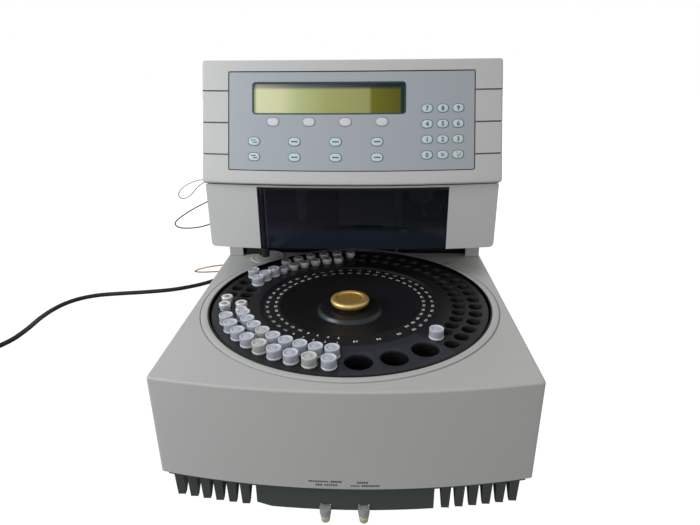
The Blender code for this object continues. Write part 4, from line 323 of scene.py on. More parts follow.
def smooth_route(knots, count):
    """Even points on a Catmull-Rom curve through knots, whose first and last runs stay straight."""
    before, start, stop, after = knots[:-3, None], knots[1:-2, None], knots[2:-1, None], knots[3:, None]
    t = np.linspace(0, 1, 24, endpoint=False)[None, :, None]
    dense = start + ((stop - before) * t + (2 * before - 5 * start + 4 * stop - after) * t**2
                     + (3 * start - before - 3 * stop + after) * t**3) / 2
    dense = np.concatenate([dense.reshape(-1, 3), knots[-2:-1]])
    run = np.concatenate([[0], np.cumsum(np.linalg.norm(np.diff(dense, axis=0), axis=1))])
    even = np.linspace(0, run[-1], count)
    curve = np.stack([np.interp(even, run, dense[:, i]) for i in range(3)], -1)
    return np.concatenate([knots[:1], curve, knots[-1:]])


def tube(path, radius, sides, reference=(0, 0, 1)):
    """A round tube: at each point of the path a circle of its radius, square to the path."""
    tangent = np.gradient(path, axis=0)
    tangent /= np.linalg.norm(tangent, axis=1, keepdims=True)
    side = np.cross(tangent, reference)
    side /= np.linalg.norm(side, axis=1, keepdims=True)
    rise = np.cross(side, tangent)
    angle = np.linspace(0, math.tau, sides + 1)[None, :, None]
    spokes = side[:, None] * np.cos(angle) + rise[:, None] * np.sin(angle)
    round_in = np.array([0.0, 0.72, 0.93, 1.0])[:, None, None] * radius
    set_back = np.array([0.0, 0.02, 0.12, 0.3])[:, None, None] * radius
    head = path[0] + tangent[0] * set_back + spokes[0] * round_in
    tail = path[-1] - tangent[-1] * set_back + spokes[-1] * round_in
    return np.concatenate([head, path[1:-1, None] + spokes[1:-1] * radius, tail[::-1]])


def coil_route(entry, heading):
    """Turns of lead: an inward spiral on the bench, then an outward one above it."""
    outer = COIL_RADIUS + COIL_PITCH * COIL_TURNS / 4
    first = entry + heading * 2 * LEAD_RADIUS
    centre = first + np.array([heading[1], -heading[0], 0.0]) * outer
    start = math.atan2(first[1] - centre[1], first[0] - centre[0])
    turn = np.linspace(0, COIL_TURNS, COIL_TURNS * 72 + 1)
    radius = outer - COIL_PITCH * np.minimum(turn, COIL_TURNS - turn)
    climb = np.clip((turn - COIL_TURNS / 2) * 2 + 0.5, 0, 1)
    angle = start - math.tau * turn
    turns = centre + np.stack([radius * np.cos(angle), radius * np.sin(angle), COIL_LAYER * climb], -1)
    return np.concatenate([turns, turns[-1:] + heading * COIL_TAIL]), centre


def toned(colour, share, lift=0.0):
    """A colour times a share, and lifted by an amount, at most 1."""
    return tuple(min(1.0, channel * share + lift) for channel in colour)


def rubber(name, colour, roughness):
    """Moulded rubber: a faint dusty bloom, and fine pits that dull it."""
    material, place, vary = finish(name, colour, roughness, specular_ior_level=0.35)
    bloom = place.noise(45, 4)
    grain = place.noise(2600, 2)
    vary(base_color=bloom.mix(colour, toned(colour, 1.9, 0.006)), normal=grain.bump(0.00005, 0.5),
         roughness=roughness - 0.08 + bloom * 0.16 + grain * 0.06)
    return material


lead_rubber = rubber("lead_rubber", shade(24, 24, 26), 0.48)
free_run = smooth_route(LEAD_ROUTE, 260)
free_run[:, 2] = np.maximum(free_run[:, 2], LEAD_REST)
lead_heading = free_run[-1] - free_run[-2]
lead_heading /= np.linalg.norm(lead_heading)
coil, coil_centre = coil_route(free_run[-1] + lead_heading * LEAD_GAP, lead_heading)
lead_path = np.concatenate([free_run, coil])
lead = surface("mains_lead_full", [tube(lead_path, LEAD_RADIUS, 20)], "instrument", lead_rubber)
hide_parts("mains_lead", "mains_lead_coil")


# Connector and plug of the lead
# Both are moulded on in the lead's own black rubber, with a ribbed taper that saves the lead
# from a sharp bend. The plug's two flat blades are nickel-plated brass.
CONNECTOR_X, CONNECTOR_Z = -0.100, 0.085
CONNECTOR_NOSE, CONNECTOR_BODY_END, CONNECTOR_TAPER_END = 0.2698, 0.2998, 0.3497
PLUG_FACE, BLADE_REACH, BLADE_SPACING = 0.058, 0.017, 0.0127


def squared(angle, square):
    """Cosine and sine of an angle to the power 2/n, with their signs: a circle for n = 2, and
    squarer as n grows."""
    across, rise = np.cos(angle), np.sin(angle)
    power = 2 / square
    return np.sign(across) * np.abs(across) ** power, np.sign(rise) * np.abs(rise) ** power


def loft(stations, turns=48):
    """Rings along X: each station gives x, half width, half height and squareness n of a ring
    |y/w|^n + |z/h|^n = 1. The first and last ring are drawn together to a point."""
    stations = np.array(stations)
    x, wide, high, square = (stations[:, i, None] for i in range(4))
    angle = np.linspace(0, math.tau, turns + 1)[None]
    across, rise = squared(angle, square)
    return np.stack([x + 0 * angle, wide * across, high * rise], -1)


def ribbed(start, stop, root, tip, ribs):
    """Stations of a round taper whose surface waves in and out once for each rib."""
    along = np.linspace(0, 1, ribs * 6 + 1)
    radius = root + (tip - root) * along - 0.0005 * (0.5 - 0.5 * np.cos(math.tau * ribs * along))
    return [(start + (stop - start) * t, r, r, 2.0) for t, r in zip(along, radius)]


def turned_to(patch, angle, origin):
    """A patch made along X, turned about Z and moved to where it lies."""
    along, beside = math.cos(angle), math.sin(angle)
    turn = np.array([[along, beside, 0], [-beside, along, 0], [0, 0, 1]])
    return patch @ turn + np.array(origin)


def bare_metal(name, colour, roughness, lumps, low, spread):
    """Metal whose sheen changes over it, from low to low plus spread, as handling leaves it."""
    material, place, vary = finish(name, colour, roughness, metallic=1.0)
    vary(roughness=low + place.noise(lumps, 3) * spread)
    return material


connector_stations = [
    (CONNECTOR_NOSE, 0.0, 0.0, 6), (CONNECTOR_NOSE, 0.0104, 0.0069, 6),
    (CONNECTOR_NOSE + 0.0006, 0.01115, 0.00765, 7), (CONNECTOR_NOSE + 0.0160, 0.01120, 0.00770, 8),
    (CONNECTOR_NOSE + 0.0168, 0.01125, 0.00775, 8), (CONNECTOR_NOSE + 0.0240, 0.01125, 0.00775, 6),
    (CONNECTOR_BODY_END - 0.0012, 0.0104, 0.0073, 4), (CONNECTOR_BODY_END, 0.0088, 0.0068, 3),
]
connector_stations += ribbed(CONNECTOR_BODY_END + 0.001, CONNECTOR_TAPER_END - 0.001, 0.0065, 0.0045, 9)
connector_stations += [(CONNECTOR_TAPER_END, 0.0040, 0.0040, 2), (CONNECTOR_TAPER_END, 0.0, 0.0, 2)]
connector_patch = turned_to(loft(connector_stations), math.pi / 2, (CONNECTOR_X, 0, CONNECTOR_Z))
connector = surface("lead_connector_body", [connector_patch], "instrument", lead_rubber)
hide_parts("lead_connector")

plug_stations = [(0.0, 0.0, 0.0, 2), (0.0, 0.0040, 0.0040, 2)] + ribbed(0.001, 0.028, 0.0045, 0.0063, 7)
plug_stations += [
    (0.029, 0.0078, 0.0066, 3), (0.036, 0.0098, 0.0079, 4), (0.044, 0.0122, 0.0099, 4),
    (PLUG_FACE - 0.001, 0.0124, 0.0101, 5), (PLUG_FACE, 0.0118, 0.0095, 5), (PLUG_FACE, 0.0, 0.0, 5),
]
plug_angle = math.atan2(lead_heading[1], lead_heading[0])
plug_origin = coil[-1] + lead_heading * LEAD_GAP
plug_patch = turned_to(loft(plug_stations), plug_angle, plug_origin)
plug = surface("mains_plug_body", [plug_patch], "instrument", lead_rubber)
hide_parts("mains_plug")

nickel = bare_metal("plated_brass", shade(205, 200, 190), 0.25, 900, 0.2, 0.15)
blade_root, blade_tip = PLUG_FACE - 0.003, PLUG_FACE + BLADE_REACH
blade = loft([(blade_root, 0, 0, 8), (blade_root, 0.0008, 0.0032, 8), (blade_tip - 0.002, 0.0008, 0.0032, 8),
              (blade_tip, 0.0005, 0.0024, 4), (blade_tip, 0, 0, 4)])
blade_pair = [turned_to(blade + np.array([0, side * BLADE_SPACING / 2, 0]), plug_angle, plug_origin)
              for side in (-1, 1)]
blades = surface("plug_blades", blade_pair, "instrument", nickel)


# Coil strap
# A black woven strap with a hook and loop face, put once round the coil at its far side. It keeps
# the turns together and lies on the bench with them.
STRAP_INNER, STRAP_OUTER, STRAP_TOP, STRAP_WIDTH = 0.0272, 0.0468, 0.0144, 0.011
STRAP_THICKNESS, STRAP_HEIGHT_SHARE, STRAP_SQUARENESS, STRAP_ANGLE = 0.0008, 0.89, 4, 2.2
strap_fabric, place, vary = finish("strap_fabric", shade(38, 38, 40), 0.85, sheen_weight=0.4)
weave = place.noise(3800, 2)
vary(normal=weave.bump(0.0002), roughness=0.8 + weave * 0.15)
across, rise = squared(np.linspace(0, math.tau, 65), STRAP_SQUARENESS)
middle, half = (STRAP_INNER + STRAP_OUTER) / 2, (STRAP_OUTER - STRAP_INNER) / 2
loop_r = middle + half * across
loop_z = STRAP_TOP / 2 * (1 + rise)
inner_r = middle + (loop_r - middle) * (1 - STRAP_THICKNESS / half)
inner_z = STRAP_TOP / 2 + (loop_z - STRAP_TOP / 2) * STRAP_HEIGHT_SHARE
band = []
for radius, height, side in ((inner_r, inner_z, -1), (loop_r, loop_z, -1), (loop_r, loop_z, 1),
                             (inner_r, inner_z, 1), (inner_r, inner_z, -1)):
    band.append(np.stack([radius, 0 * radius + side * STRAP_WIDTH / 2, height], -1))
strap_patch = turned_to(np.array(band), STRAP_ANGLE, (coil_centre[0], coil_centre[1], 0))
strap = surface("coil_strap", [strap_patch], "instrument", strap_fabric)


# Capillaries
# Thin fluoropolymer and polyether tubes that carry the sample. They leave the casing at its left
# side in short stiff loops and go back in through the next collar.
CAPILLARY_RADIUS = 0.0008
CAPILLARIES = {
    "clear": (0.130, shade(222, 224, 222), (
        (-0.1500, 0.0010, 0.2310), (-0.1560, 0.0010, 0.2311), (-0.1650, 0.0008, 0.2309),
        (-0.1776, 0.0000, 0.2296), (-0.1870, -0.0004, 0.2272), (-0.1960, -0.0006, 0.2232),
        (-0.2035, -0.0004, 0.2172), (-0.2063, 0.0000, 0.2112), (-0.2036, 0.0012, 0.2070),
        (-0.1985, 0.0026, 0.2072), (-0.1915, 0.0040, 0.2120), (-0.1850, 0.0052, 0.2190),
        (-0.1780, 0.0062, 0.2240), (-0.1680, 0.0070, 0.2262), (-0.1560, 0.0072, 0.2265),
        (-0.1500, 0.0072, 0.2265))),
    "dark": (0.140, shade(82, 68, 60), (
        (-0.1500, -0.0040, 0.2090), (-0.1560, -0.0040, 0.2089), (-0.1660, -0.0044, 0.2068),
        (-0.1760, -0.0050, 0.2024), (-0.1870, -0.0056, 0.1970), (-0.1990, -0.0060, 0.1900),
        (-0.2090, -0.0060, 0.1830), (-0.2130, -0.0056, 0.1772), (-0.2090, -0.0048, 0.1728),
        (-0.2000, -0.0040, 0.1716), (-0.1880, -0.0030, 0.1722), (-0.1760, -0.0018, 0.1748),
        (-0.1650, -0.0006, 0.1790), (-0.1560, 0.0000, 0.1806), (-0.1500, 0.0000, 0.1806))),
    "amber": (0.120, shade(168, 112, 62), (
        (-0.1500, 0.0200, 0.1150), (-0.1560, 0.0200, 0.1150), (-0.1650, 0.0200, 0.1146),
        (-0.1760, 0.0202, 0.1134), (-0.1880, 0.0208, 0.1112), (-0.1990, 0.0220, 0.1080),
        (-0.2060, 0.0240, 0.1046), (-0.2066, 0.0275, 0.1018), (-0.2000, 0.0300, 0.1002),
        (-0.1880, 0.0310, 0.1002), (-0.1750, 0.0310, 0.1010), (-0.1640, 0.0310, 0.1020),
        (-0.1560, 0.0310, 0.1024), (-0.1500, 0.0310, 0.1024))),
}
for key, (length, colour, route) in CAPILLARIES.items():
    material, place, vary = finish(f"{key}_tube", colour, 0.22, coat_weight=0.3)
    vary(base_color=place.noise(60, 2).mix(colour, toned(colour, 0.75)))
    path = smooth_route(np.array(route), 90)
    patch = tube(path, CAPILLARY_RADIUS, 12, (0, 1, 0))
    piece = surface(f"capillary_{key}_tube", [patch], "instrument", material)
    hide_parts(f"capillary_{key}")


# Base pan
# A die casting in dark grey stoved paint: floor, bowed skirt and twelve cooling fins, which all
# taper as a casting does. It stands on four round feet.
def recast(name, new_name, material, edge, segments=2, body="instrument", limit=40):
    """A solid's own mesh, merged, with its edges rounded as paint and moulding leave them."""
    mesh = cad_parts[name].data.copy()
    mesh.materials.clear()
    shape = bmesh.new()
    shape.from_mesh(mesh)
    bmesh.ops.remove_doubles(shape, verts=shape.verts, dist=WELD)
    bmesh.ops.dissolve_limit(shape, angle_limit=math.radians(0.4), verts=shape.verts, edges=shape.edges)
    shape.to_mesh(mesh)
    shape.free()
    piece = placed(new_name, mesh, body, material, sharp=limit)
    if edge:
        step = piece.modifiers.new("edges", "BEVEL")
        step.width = edge
        step.segments = segments
        step.limit_method = "ANGLE"
        step.angle_limit = math.radians(limit)
        step.use_clamp_overlap = True
        step.harden_normals = True
    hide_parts(name)
    return piece


def textured_paint(name, colour, roughness=0.5, lumps=1400, relief=0.00006, shade_lines=None):
    """Sprayed paint over a moulding or casting: a fine orange-peel texture, broad faint changes
    of tone and a little grime. The lines that a field gives are painted dark, as painted shade."""
    material, place, vary = finish(name, colour, roughness, specular_ior_level=0.4)
    peel = place.noise(lumps, 2, 0.6)
    cloud = place.noise(7, 3)
    grime = place.noise(90, 5, 0.65)
    darker = toned(colour, 0.93)
    dirty = (grime * 4.0 - 2.5).clamped() * 0.25
    tone = dirty.mix(cloud.mix(darker, toned(colour, 1.05)), darker)
    if shade_lines:
        # Painted shade: the field's lines are painted near black.
        tone = shade_lines(place).mix(tone, toned(colour, 0.18))
    vary(base_color=tone, roughness=roughness - 0.05 + grime * 0.1, normal=peel.bump(relief, 0.6))
    return material


casting_paint = textured_paint("dark_casting", shade(72, 78, 76), 0.5, 900, 0.00008)
pan = recast("base_pan", "base_pan_casting", casting_paint, 0.0006)


# Drain nozzles
# Two barbed outlets in natural nylon under the front edge, for condensed water and for wash
# liquid. Each is pressed into the pan from below.
NOZZLE_X, NOZZLE_Y, NOZZLE_TOP, NOZZLE_FOOT = 0.0155, -0.2830, 0.0276, 0.0140
NOZZLE_BORE, NOZZLE_SHADE_Z, ELBOW_RADIUS = 0.0020, 0.0205, 0.0031
ELBOW_ROUTE = ((0.0, 0.0245), (0.002, 0.0245), (0.007, 0.0245), (0.0125, 0.0285), (0.0128, 0.040),
               (0.0128, 0.0457))


def rounded(outline, radius, steps=4, closed=True):
    """An outline whose corners B become curves (1-t)^2 A + 2t(1-t) B + t^2 C, with A and C a
    radius away along the two sides, or half a side away where that is less."""
    outline = np.array(outline, float)
    radius = np.broadcast_to(np.array(radius, float), (len(outline),)).copy()
    if not closed:
        radius[[0, -1]] = 0
    ends = []
    for other in (np.roll(outline, 1, axis=0), np.roll(outline, -1, axis=0)):
        run = other - outline
        length = np.maximum(np.linalg.norm(run, axis=1), 1e-9)
        ends.append(outline + run * (np.minimum(radius, length * 0.5) / length)[:, None])
    t = np.linspace(0, 1, steps + 1)[None, :, None]
    curve = (1 - t) ** 2 * ends[0][:, None] + 2 * t * (1 - t) * outline[:, None]
    curve = curve + t**2 * ends[1][:, None]
    curve = curve.reshape(-1, outline.shape[1])
    return np.concatenate([curve, curve[:1]]) if closed else curve


def turned(profile, centre, turns=96, start=0.0, axis="Z"):
    """A profile of radius and height carried once round an axis: r cos a, r sin a, h."""
    profile = np.asarray(profile, float)
    angle = start + np.linspace(0, math.tau, turns + 1)[None]
    radius, height = profile[:, :1], profile[:, 1:]
    x, y, z = radius * np.cos(angle), radius * np.sin(angle), height + 0 * angle
    order = (x, y, z) if axis == "Z" else (x, z, y)
    return np.stack(order, -1) + np.array(centre)


natural_nylon, place, vary = finish("natural_nylon", shade(205, 198, 176), 0.3)
cloud = place.noise(240, 3)
deep = ((place.parts()[2] - NOZZLE_SHADE_Z) * 500.0).clamped()
outside = cloud.mix(shade(214, 208, 188), shade(190, 180, 158))
in_shadow = cloud.mix(shade(176, 176, 182), shade(150, 148, 146))
vary(base_color=deep.mix(outside, in_shadow), normal=place.noise(1500, 2).bump(0.00003))
barbs = [(NOZZLE_BORE, NOZZLE_FOOT), (0.0034, NOZZLE_FOOT), (0.0041, 0.0190), (0.0036, 0.0192),
         (0.0045, 0.0215), (0.0047, 0.0243), (0.0047, NOZZLE_TOP), (0.0, NOZZLE_TOP), (0.0, 0.0226),
         (NOZZLE_BORE, 0.0226)]
for side, label in ((-1, "left"), (1, "right")):
    x = side * NOZZLE_X
    outlet = turned(rounded(barbs, [0.0003] * 7 + [0, 0, 0]), (x, NOZZLE_Y, 0), 48)
    elbow = smooth_route(np.array([(x, NOZZLE_Y + back, z) for back, z in ELBOW_ROUTE]), 30)
    patches = [outlet, tube(elbow, ELBOW_RADIUS, 32, (1, 0, 0))]
    piece = surface(f"drain_nozzle_{label}_barb", patches, "instrument", natural_nylon)
    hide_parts(f"drain_nozzle_{label}")


# Base cover
# The large light grey moulding that bows out at the front. Its top has the round well for the
# tray, with a raised lip, and a low round boss behind it. It sits over the pan.
TRAY_Y = -0.133
TRAY_CENTRE, TRAY_AXIS = (0.0, TRAY_Y), (0, TRAY_Y, 0)
COVER_HALF, COVER_CORNER_Y, COVER_BOW, COVER_REAR = 0.150, -0.2715, 0.016, -0.0025
COVER_TOP, COVER_FOOT, COVER_WALL, COVER_EDGE = 0.1405, 0.0505, 0.003, 0.0018
WELL_RADIUS, LIP_RADIUS, LIP_RISE = 0.1363, 0.1425, 0.0006
GROOVE_SINK, GROOVE_OUT = 0.0004, 0.0013
COVER_BLEND, REAR_GAP = 0.0012, 0.0003
CLIP_BOSS, WASH_PORT = (-0.1016, -0.0184), (0.1084, -0.0405)


def cover_reach(angle, inset):
    """Distances from the well's axis to the cover's edge, set in by an amount. The front is the
    bow y = c - b (1 - (x/w)^2), and each front corner is a smooth minimum of front and side."""
    across, back = np.cos(angle), np.sin(angle)
    front_y = COVER_CORNER_Y - COVER_BOW - TRAY_Y + inset
    curve = COVER_BOW * across**2 / COVER_HALF**2
    front = 2 * front_y / (back - np.sqrt(back**2 - 4 * curve * front_y))
    front = np.where(back < -0.05, front, 1.0)
    side = (COVER_HALF - inset) / np.maximum(np.abs(across), 1e-6)
    return -COVER_BLEND * np.logaddexp(-side / COVER_BLEND, -front / COVER_BLEND)


def cover_skin():
    """Rings from the well's edge over the lip and the top, round the edge, down the wall and back
    inside: each is the well's circle or the cover's edge, set in by a distance at a height."""
    corner = math.atan2(COVER_REAR - TRAY_Y, COVER_HALF)
    front_corner = math.atan2(COVER_CORNER_Y - TRAY_Y, COVER_HALF)
    base = np.linspace(0, 1, 97)
    near = np.linspace(-0.03, 0.03, 13)
    walls = np.unique(np.concatenate([-math.tau + math.pi - corner + base * (math.pi + 2 * corner),
                                      front_corner + near, -math.pi - front_corner + near]))
    walls = walls[(walls >= -math.pi - corner) & (walls <= corner)]
    rear = np.concatenate([[corner], corner + base[1:] * (math.pi - 2 * corner)])
    rear_reach = np.maximum((COVER_REAR - TRAY_Y) / np.sin(rear), LIP_RADIUS + REAR_GAP)
    angle = np.concatenate([walls, rear])
    is_rear = np.concatenate([0 * walls, 0 * rear + 1]) > 0
    spoke = np.stack([np.cos(angle), np.sin(angle)], -1)
    edge = np.where(is_rear, 0.0003, COVER_EDGE)
    foot = np.where(is_rear, COVER_TOP - COVER_WALL + 0.0003, COVER_FOOT)
    under = COVER_TOP - COVER_WALL
    limit = np.concatenate([1.0 + 0 * walls, rear_reach - REAR_GAP])
    flat_edge = np.where(is_rear, 0.0, 0.0006)
    rings = []

    def ring(radius, height):
        flat = (radius + 0 * angle)[:, None] * spoke + TRAY_CENTRE
        rings.append(np.concatenate([flat, (height + 0 * angle)[:, None]], -1))

    def edge_ring(inset, height):
        inset = inset + 0 * angle
        front, back = cover_reach(walls, inset[:len(walls)]), rear_reach - inset[len(walls):]
        ring(np.concatenate([front, back]), height)

    lip = ((WELL_RADIUS, -COVER_WALL), (WELL_RADIUS, 0.0003), (WELL_RADIUS + 0.0002, LIP_RISE - 0.0001),
           (WELL_RADIUS + 0.0005, LIP_RISE), (LIP_RADIUS - 0.0009, LIP_RISE),
           (LIP_RADIUS - 0.0004, LIP_RISE - 0.0002), (LIP_RADIUS - 0.0001, -GROOVE_SINK),
           (LIP_RADIUS + 0.0007, -GROOVE_SINK), (LIP_RADIUS + GROOVE_OUT - 0.0003, 0.0),
           (LIP_RADIUS + GROOVE_OUT, 0.0))
    for radius, rise in lip:
        ring(np.minimum(radius, limit), COVER_TOP + rise)
    edge_ring(edge + flat_edge, COVER_TOP)
    for turn in np.linspace(0, math.pi / 2, 6):
        edge_ring(edge * (1 - math.sin(turn)), COVER_TOP - edge * (1 - math.cos(turn)))
    for inset, height in ((0.0, COVER_TOP - edge - flat_edge), (0.0, foot + 0.0002 + flat_edge),
                          (0.0, foot + 0.0002), (0.0003, foot), (COVER_WALL, foot), (COVER_WALL, under)):
        edge_ring(inset, height)
    ring(WELL_RADIUS, under)
    grid = np.array(rings)
    return np.concatenate([grid, grid[:, :1]], axis=1)


def away(x, y, centre):
    """Distance from an upright axis."""
    return ((x - centre[0]) * (x - centre[0]) + (y - centre[1]) * (y - centre[1])).root()


def lip_line(place):
    """Painted shade in the groove round the lip: 1 there, 0 elsewhere."""
    x, y, z = place.parts()
    groove = (1.4 - abs(away(x, y, TRAY_CENTRE) - (LIP_RADIUS + 0.0004)) * 1700.0).clamped()
    return groove * 0.6 * ((z - COVER_TOP + 0.002) * 2000.0).clamped()


def cut_out(piece, tool):
    """Takes a closed tool's shape out of a piece, and removes the tool."""
    cut = piece.modifiers.new("cut", "BOOLEAN")
    cut.operation, cut.solver, cut.object = "DIFFERENCE", "MANIFOLD", tool
    bpy.context.view_layer.update()
    mesh = bpy.data.meshes.new_from_object(piece.evaluated_get(bpy.context.evaluated_depsgraph_get()))
    mesh.set_sharp_from_angle(angle=math.radians(35))
    piece.modifiers.clear()
    piece.data = mesh
    bpy.data.objects.remove(tool)


def outside_well(patch):
    """A patch whose points are moved straight outwards to the well's edge where they pass it."""
    flat = patch[..., :2] - TRAY_CENTRE
    reach = np.linalg.norm(flat, axis=-1, keepdims=True)
    flat = flat * np.maximum(1.0, (WELL_RADIUS + 0.0002) / reach) + TRAY_CENTRE
    return np.concatenate([flat, patch[..., 2:]], -1)


cover_grey = textured_paint("grey_moulding", shade(192, 192, 188), 0.5, shade_lines=lip_line)
BOSS_TOP, BOSS_GROOVE = COVER_TOP + 0.0012, COVER_TOP + 0.0008
boss = [(0, COVER_TOP - 0.001), (0.0205, COVER_TOP - 0.001), (0.0205, COVER_TOP + 0.0007),
        (0.0197, BOSS_TOP), (0.0163, BOSS_TOP), (0.0160, BOSS_GROOVE), (0.0152, BOSS_GROOVE),
        (0.0149, BOSS_TOP), (0, BOSS_TOP)]
HOLE_RADIUS, HOLE_LOW, HOLE_HIGH = 0.0038, 0.1360, 0.1420
port_hole = [(0, HOLE_LOW), (HOLE_RADIUS, HOLE_LOW), (HOLE_RADIUS, HOLE_HIGH), (0, HOLE_HIGH)]
cover = surface("base_cover_moulding", [cover_skin()], "instrument", cover_grey)
cut_out(cover, surface("port_cutter", [turned(port_hole, (*WASH_PORT, 0), 32)], "instrument"))
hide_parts("base_cover")
boss_patch = outside_well(turned(rounded(boss, [0] + [0.0004] * 7 + [0]), (*CLIP_BOSS, 0)))
clip_boss = surface("clip_boss", [boss_patch], "instrument", cover_grey)


# Wash port
# A grey socket behind the well at the right, pressed in the cover, almost flush. The needle parks
# in its bore and is rinsed there.
PORT_RADIUS, PORT_BORE, PORT_TOP, PORT_FOOT, PORT_FLOOR = 0.0040, 0.0016, 0.1420, 0.1154, 0.1182


def flecked(name, colour, roughness, lumps, detail, low, high, **constants):
    """A plain finish whose colour wavers between two screen colours, as wear and print do."""
    material, place, vary = finish(name, shade(*colour), roughness, **constants)
    vary(base_color=place.noise(lumps, detail).mix(shade(*low), shade(*high)))
    return material


port_grey = flecked("port_grey", (150, 150, 148), 0.5, 700, 3, (158, 158, 156), (138, 138, 136))
port = [(0.0, PORT_FOOT), (PORT_RADIUS, PORT_FOOT), (PORT_RADIUS, PORT_TOP), (PORT_BORE, PORT_TOP),
        (PORT_BORE, PORT_FLOOR), (0.0, PORT_FLOOR)]
port_patch = turned(rounded(port, [0, 0.0003, 0.0008, 0.0003, 0, 0]), (*WASH_PORT, 0), 32)
surface("wash_port", [port_patch], "instrument", port_grey)


# Port captions
# Two lines of dark print over each drain nozzle: rows of short bars, printed on the cover's
# front face, which they follow.
CAPTION_LINES = ((-0.0278, 0.0579, (9, 5)), (-0.0222, 0.0546, (3, 6)), (0.0100, 0.0574, (5,)),
                 (0.0052, 0.0541, (4, 8)))
BAR_PITCH, BAR_WIDTH, BAR_HEIGHT, BAR_CHANGE, BAR_GAP_SHARE = 0.00178, 0.0013, 0.0015, 0.0003, 0.7
PRINT_LIFT, PRINT_DEPTH = 0.00003, 0.00006


def bar(x, y, width, height):
    """A thin flat bar of print as points and triangles, centred at x, y."""
    w, h, d = width / 2, height / 2, PRINT_DEPTH / 2
    points = np.array([(x + i * w, y + j * h, k * d) for k in (-1, 1) for j in (-1, 1) for i in (-1, 1)])
    faces = np.array([(0, 2, 3), (0, 3, 1), (4, 5, 7), (4, 7, 6), (0, 1, 5), (0, 5, 4),
                      (2, 6, 7), (2, 7, 3), (0, 4, 6), (0, 6, 2), (1, 3, 7), (1, 7, 5)])
    return points, faces


def solid(name, parts, body, material):
    """One piece from closed shapes, each its points and its triangles."""
    mesh = bpy.data.meshes.new(name)
    starts = np.cumsum([0] + [len(points) for points, _ in parts])
    points = np.concatenate([points for points, _ in parts])
    faces = np.concatenate([faces + start for (_, faces), start in zip(parts, starts)])
    mesh.from_pydata(points.tolist(), [], faces.tolist())
    return placed(name, mesh, body, material, sharp=20)


caption_print = flecked("caption_print", (60, 58, 56), 0.6, 2500, 2, (52, 50, 48), (96, 94, 90))
bars = []
for left, level, groups in CAPTION_LINES:
    x = left
    for count in groups:
        for _ in range(count):
            height = BAR_HEIGHT + BAR_CHANGE * math.sin(7.0 * x * 1000)
            points, faces = bar(x + BAR_PITCH / 2, level, BAR_WIDTH, height)
            front = COVER_CORNER_Y - COVER_BOW * (1 - (points[:, 0] / COVER_HALF) ** 2) - PRINT_LIFT
            y = front - points[:, 2] - PRINT_DEPTH / 2
            bars.append((np.stack([points[:, 0], y, points[:, 1]], -1), faces))
            x += BAR_PITCH
        x += BAR_PITCH * BAR_GAP_SHARE
solid("port_captions", bars, "instrument", caption_print)


# Well liner
# A gloss black ring and floor that line the well and catch spilled sample. Only its rim shows,
# round the tray. It drops in from above.
gloss_black, place, vary = finish("gloss_black", shade(8, 8, 10), 0.3, specular_ior_level=0.3)
vary(roughness=0.26 + place.noise(60, 3) * 0.12)
LINER_FOOT, LINER_FLOOR, LINER_TOP, LINER_OUTER, LINER_BORE = 0.1035, 0.1060, 0.1413, 0.1362, 0.0135
liner_profile = [(LINER_BORE, LINER_FOOT), (LINER_OUTER, LINER_FOOT), (LINER_OUTER, LINER_TOP),
                 (0.1347, LINER_TOP), (0.1343, LINER_FLOOR), (0.0185, LINER_FLOOR), (LINER_BORE, 0.1080)]
liner_curves = [0.0008, 0.0008, 0.0005, 0.0005, 0.002, 0.002, 0.0008]
liner_patch = turned(rounded(liner_profile, liner_curves), TRAY_AXIS, 192)
liner = surface("well_liner_ring", [liner_patch], "instrument", gloss_black)
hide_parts("well_liner")


# Sample tray
# A black moulded carousel. Its flat outer ring has two rings of round sockets, and a segment with
# three wide ones; inside it are the numbered band, a dish and the hub ring. It lifts off.
TRAY_TOP, TRAY_FOOT, TRAY_RADIUS = 0.1395, 0.1115, 0.1335
PLACES, PLACE_ANGLE, GROUP_ANGLE = 48, math.tau / 48, math.radians(20.5)
INNER_RING, OUTER_RING, WIDE_RING = 0.105, 0.1207, 0.1125
RING_EDGES = (0.09715, 0.11285, 0.12855)
SOCKET_RADIUS, WIDE_RADIUS, SOCKET_FLOOR = 0.0063, 0.01175, 0.1145
BAND_Z, DISH_Z, HUB_Z, UNDER_Z = 0.1379, 0.1290, 0.1333, 0.1248
BAND_OUTER, BAND_INNER, HUB_BORE, WEB_Z, SKIRT_INNER = 0.0850, 0.0685, 0.0054, 0.1337, 0.0872
SIDE_STEPS = 7
RING_STARTS, SOCKETS_START, EDGE_SHADE_STARTS, DISH_ENDS, FLANK_MIDDLE = 0.0873, 0.0890, 0.1313, 0.0690, 0.0309
LATHE_LINES = 5200.0


def socket_cell(azimuth, half_angle, inner, outer, ring, radius, steps):
    """A piece of the tray's top with one socket in it. Its rim is a cell of the polar grid, and
    its rows run from there to the socket's lip, down the wall and over the floor to its middle."""
    t = np.linspace(0, 1, steps + 1)[:-1]
    angle = np.concatenate([-half_angle + 2 * half_angle * t, half_angle + 0 * t,
                            half_angle - 2 * half_angle * t, -half_angle + 0 * t, [-half_angle]])
    depth = outer - inner
    reach = np.concatenate([inner + 0 * t, inner + depth * t, outer + 0 * t, outer - depth * t, [inner]])
    across, out = reach * np.sin(angle), reach * np.cos(angle) - ring
    length = np.hypot(across, out)
    rows = [(across, out, TRAY_TOP + 0 * out)]
    for r, z in ((radius + 0.0004, TRAY_TOP), (radius + 0.0001, TRAY_TOP - 0.0001),
                 (radius, TRAY_TOP - 0.0004), (radius, SOCKET_FLOOR + 0.0006),
                 (radius - 0.0006, SOCKET_FLOOR), (0.0, SOCKET_FLOOR)):
        rows.append((across / length * r, out / length * r, z + 0 * out))
    across, out, height = (np.array(row) for row in zip(*rows))
    x = (ring + out) * math.sin(azimuth) + across * math.cos(azimuth)
    y = -(ring + out) * math.cos(azimuth) + across * math.sin(azimuth)
    return np.stack([x, TRAY_Y + y, height], -1)


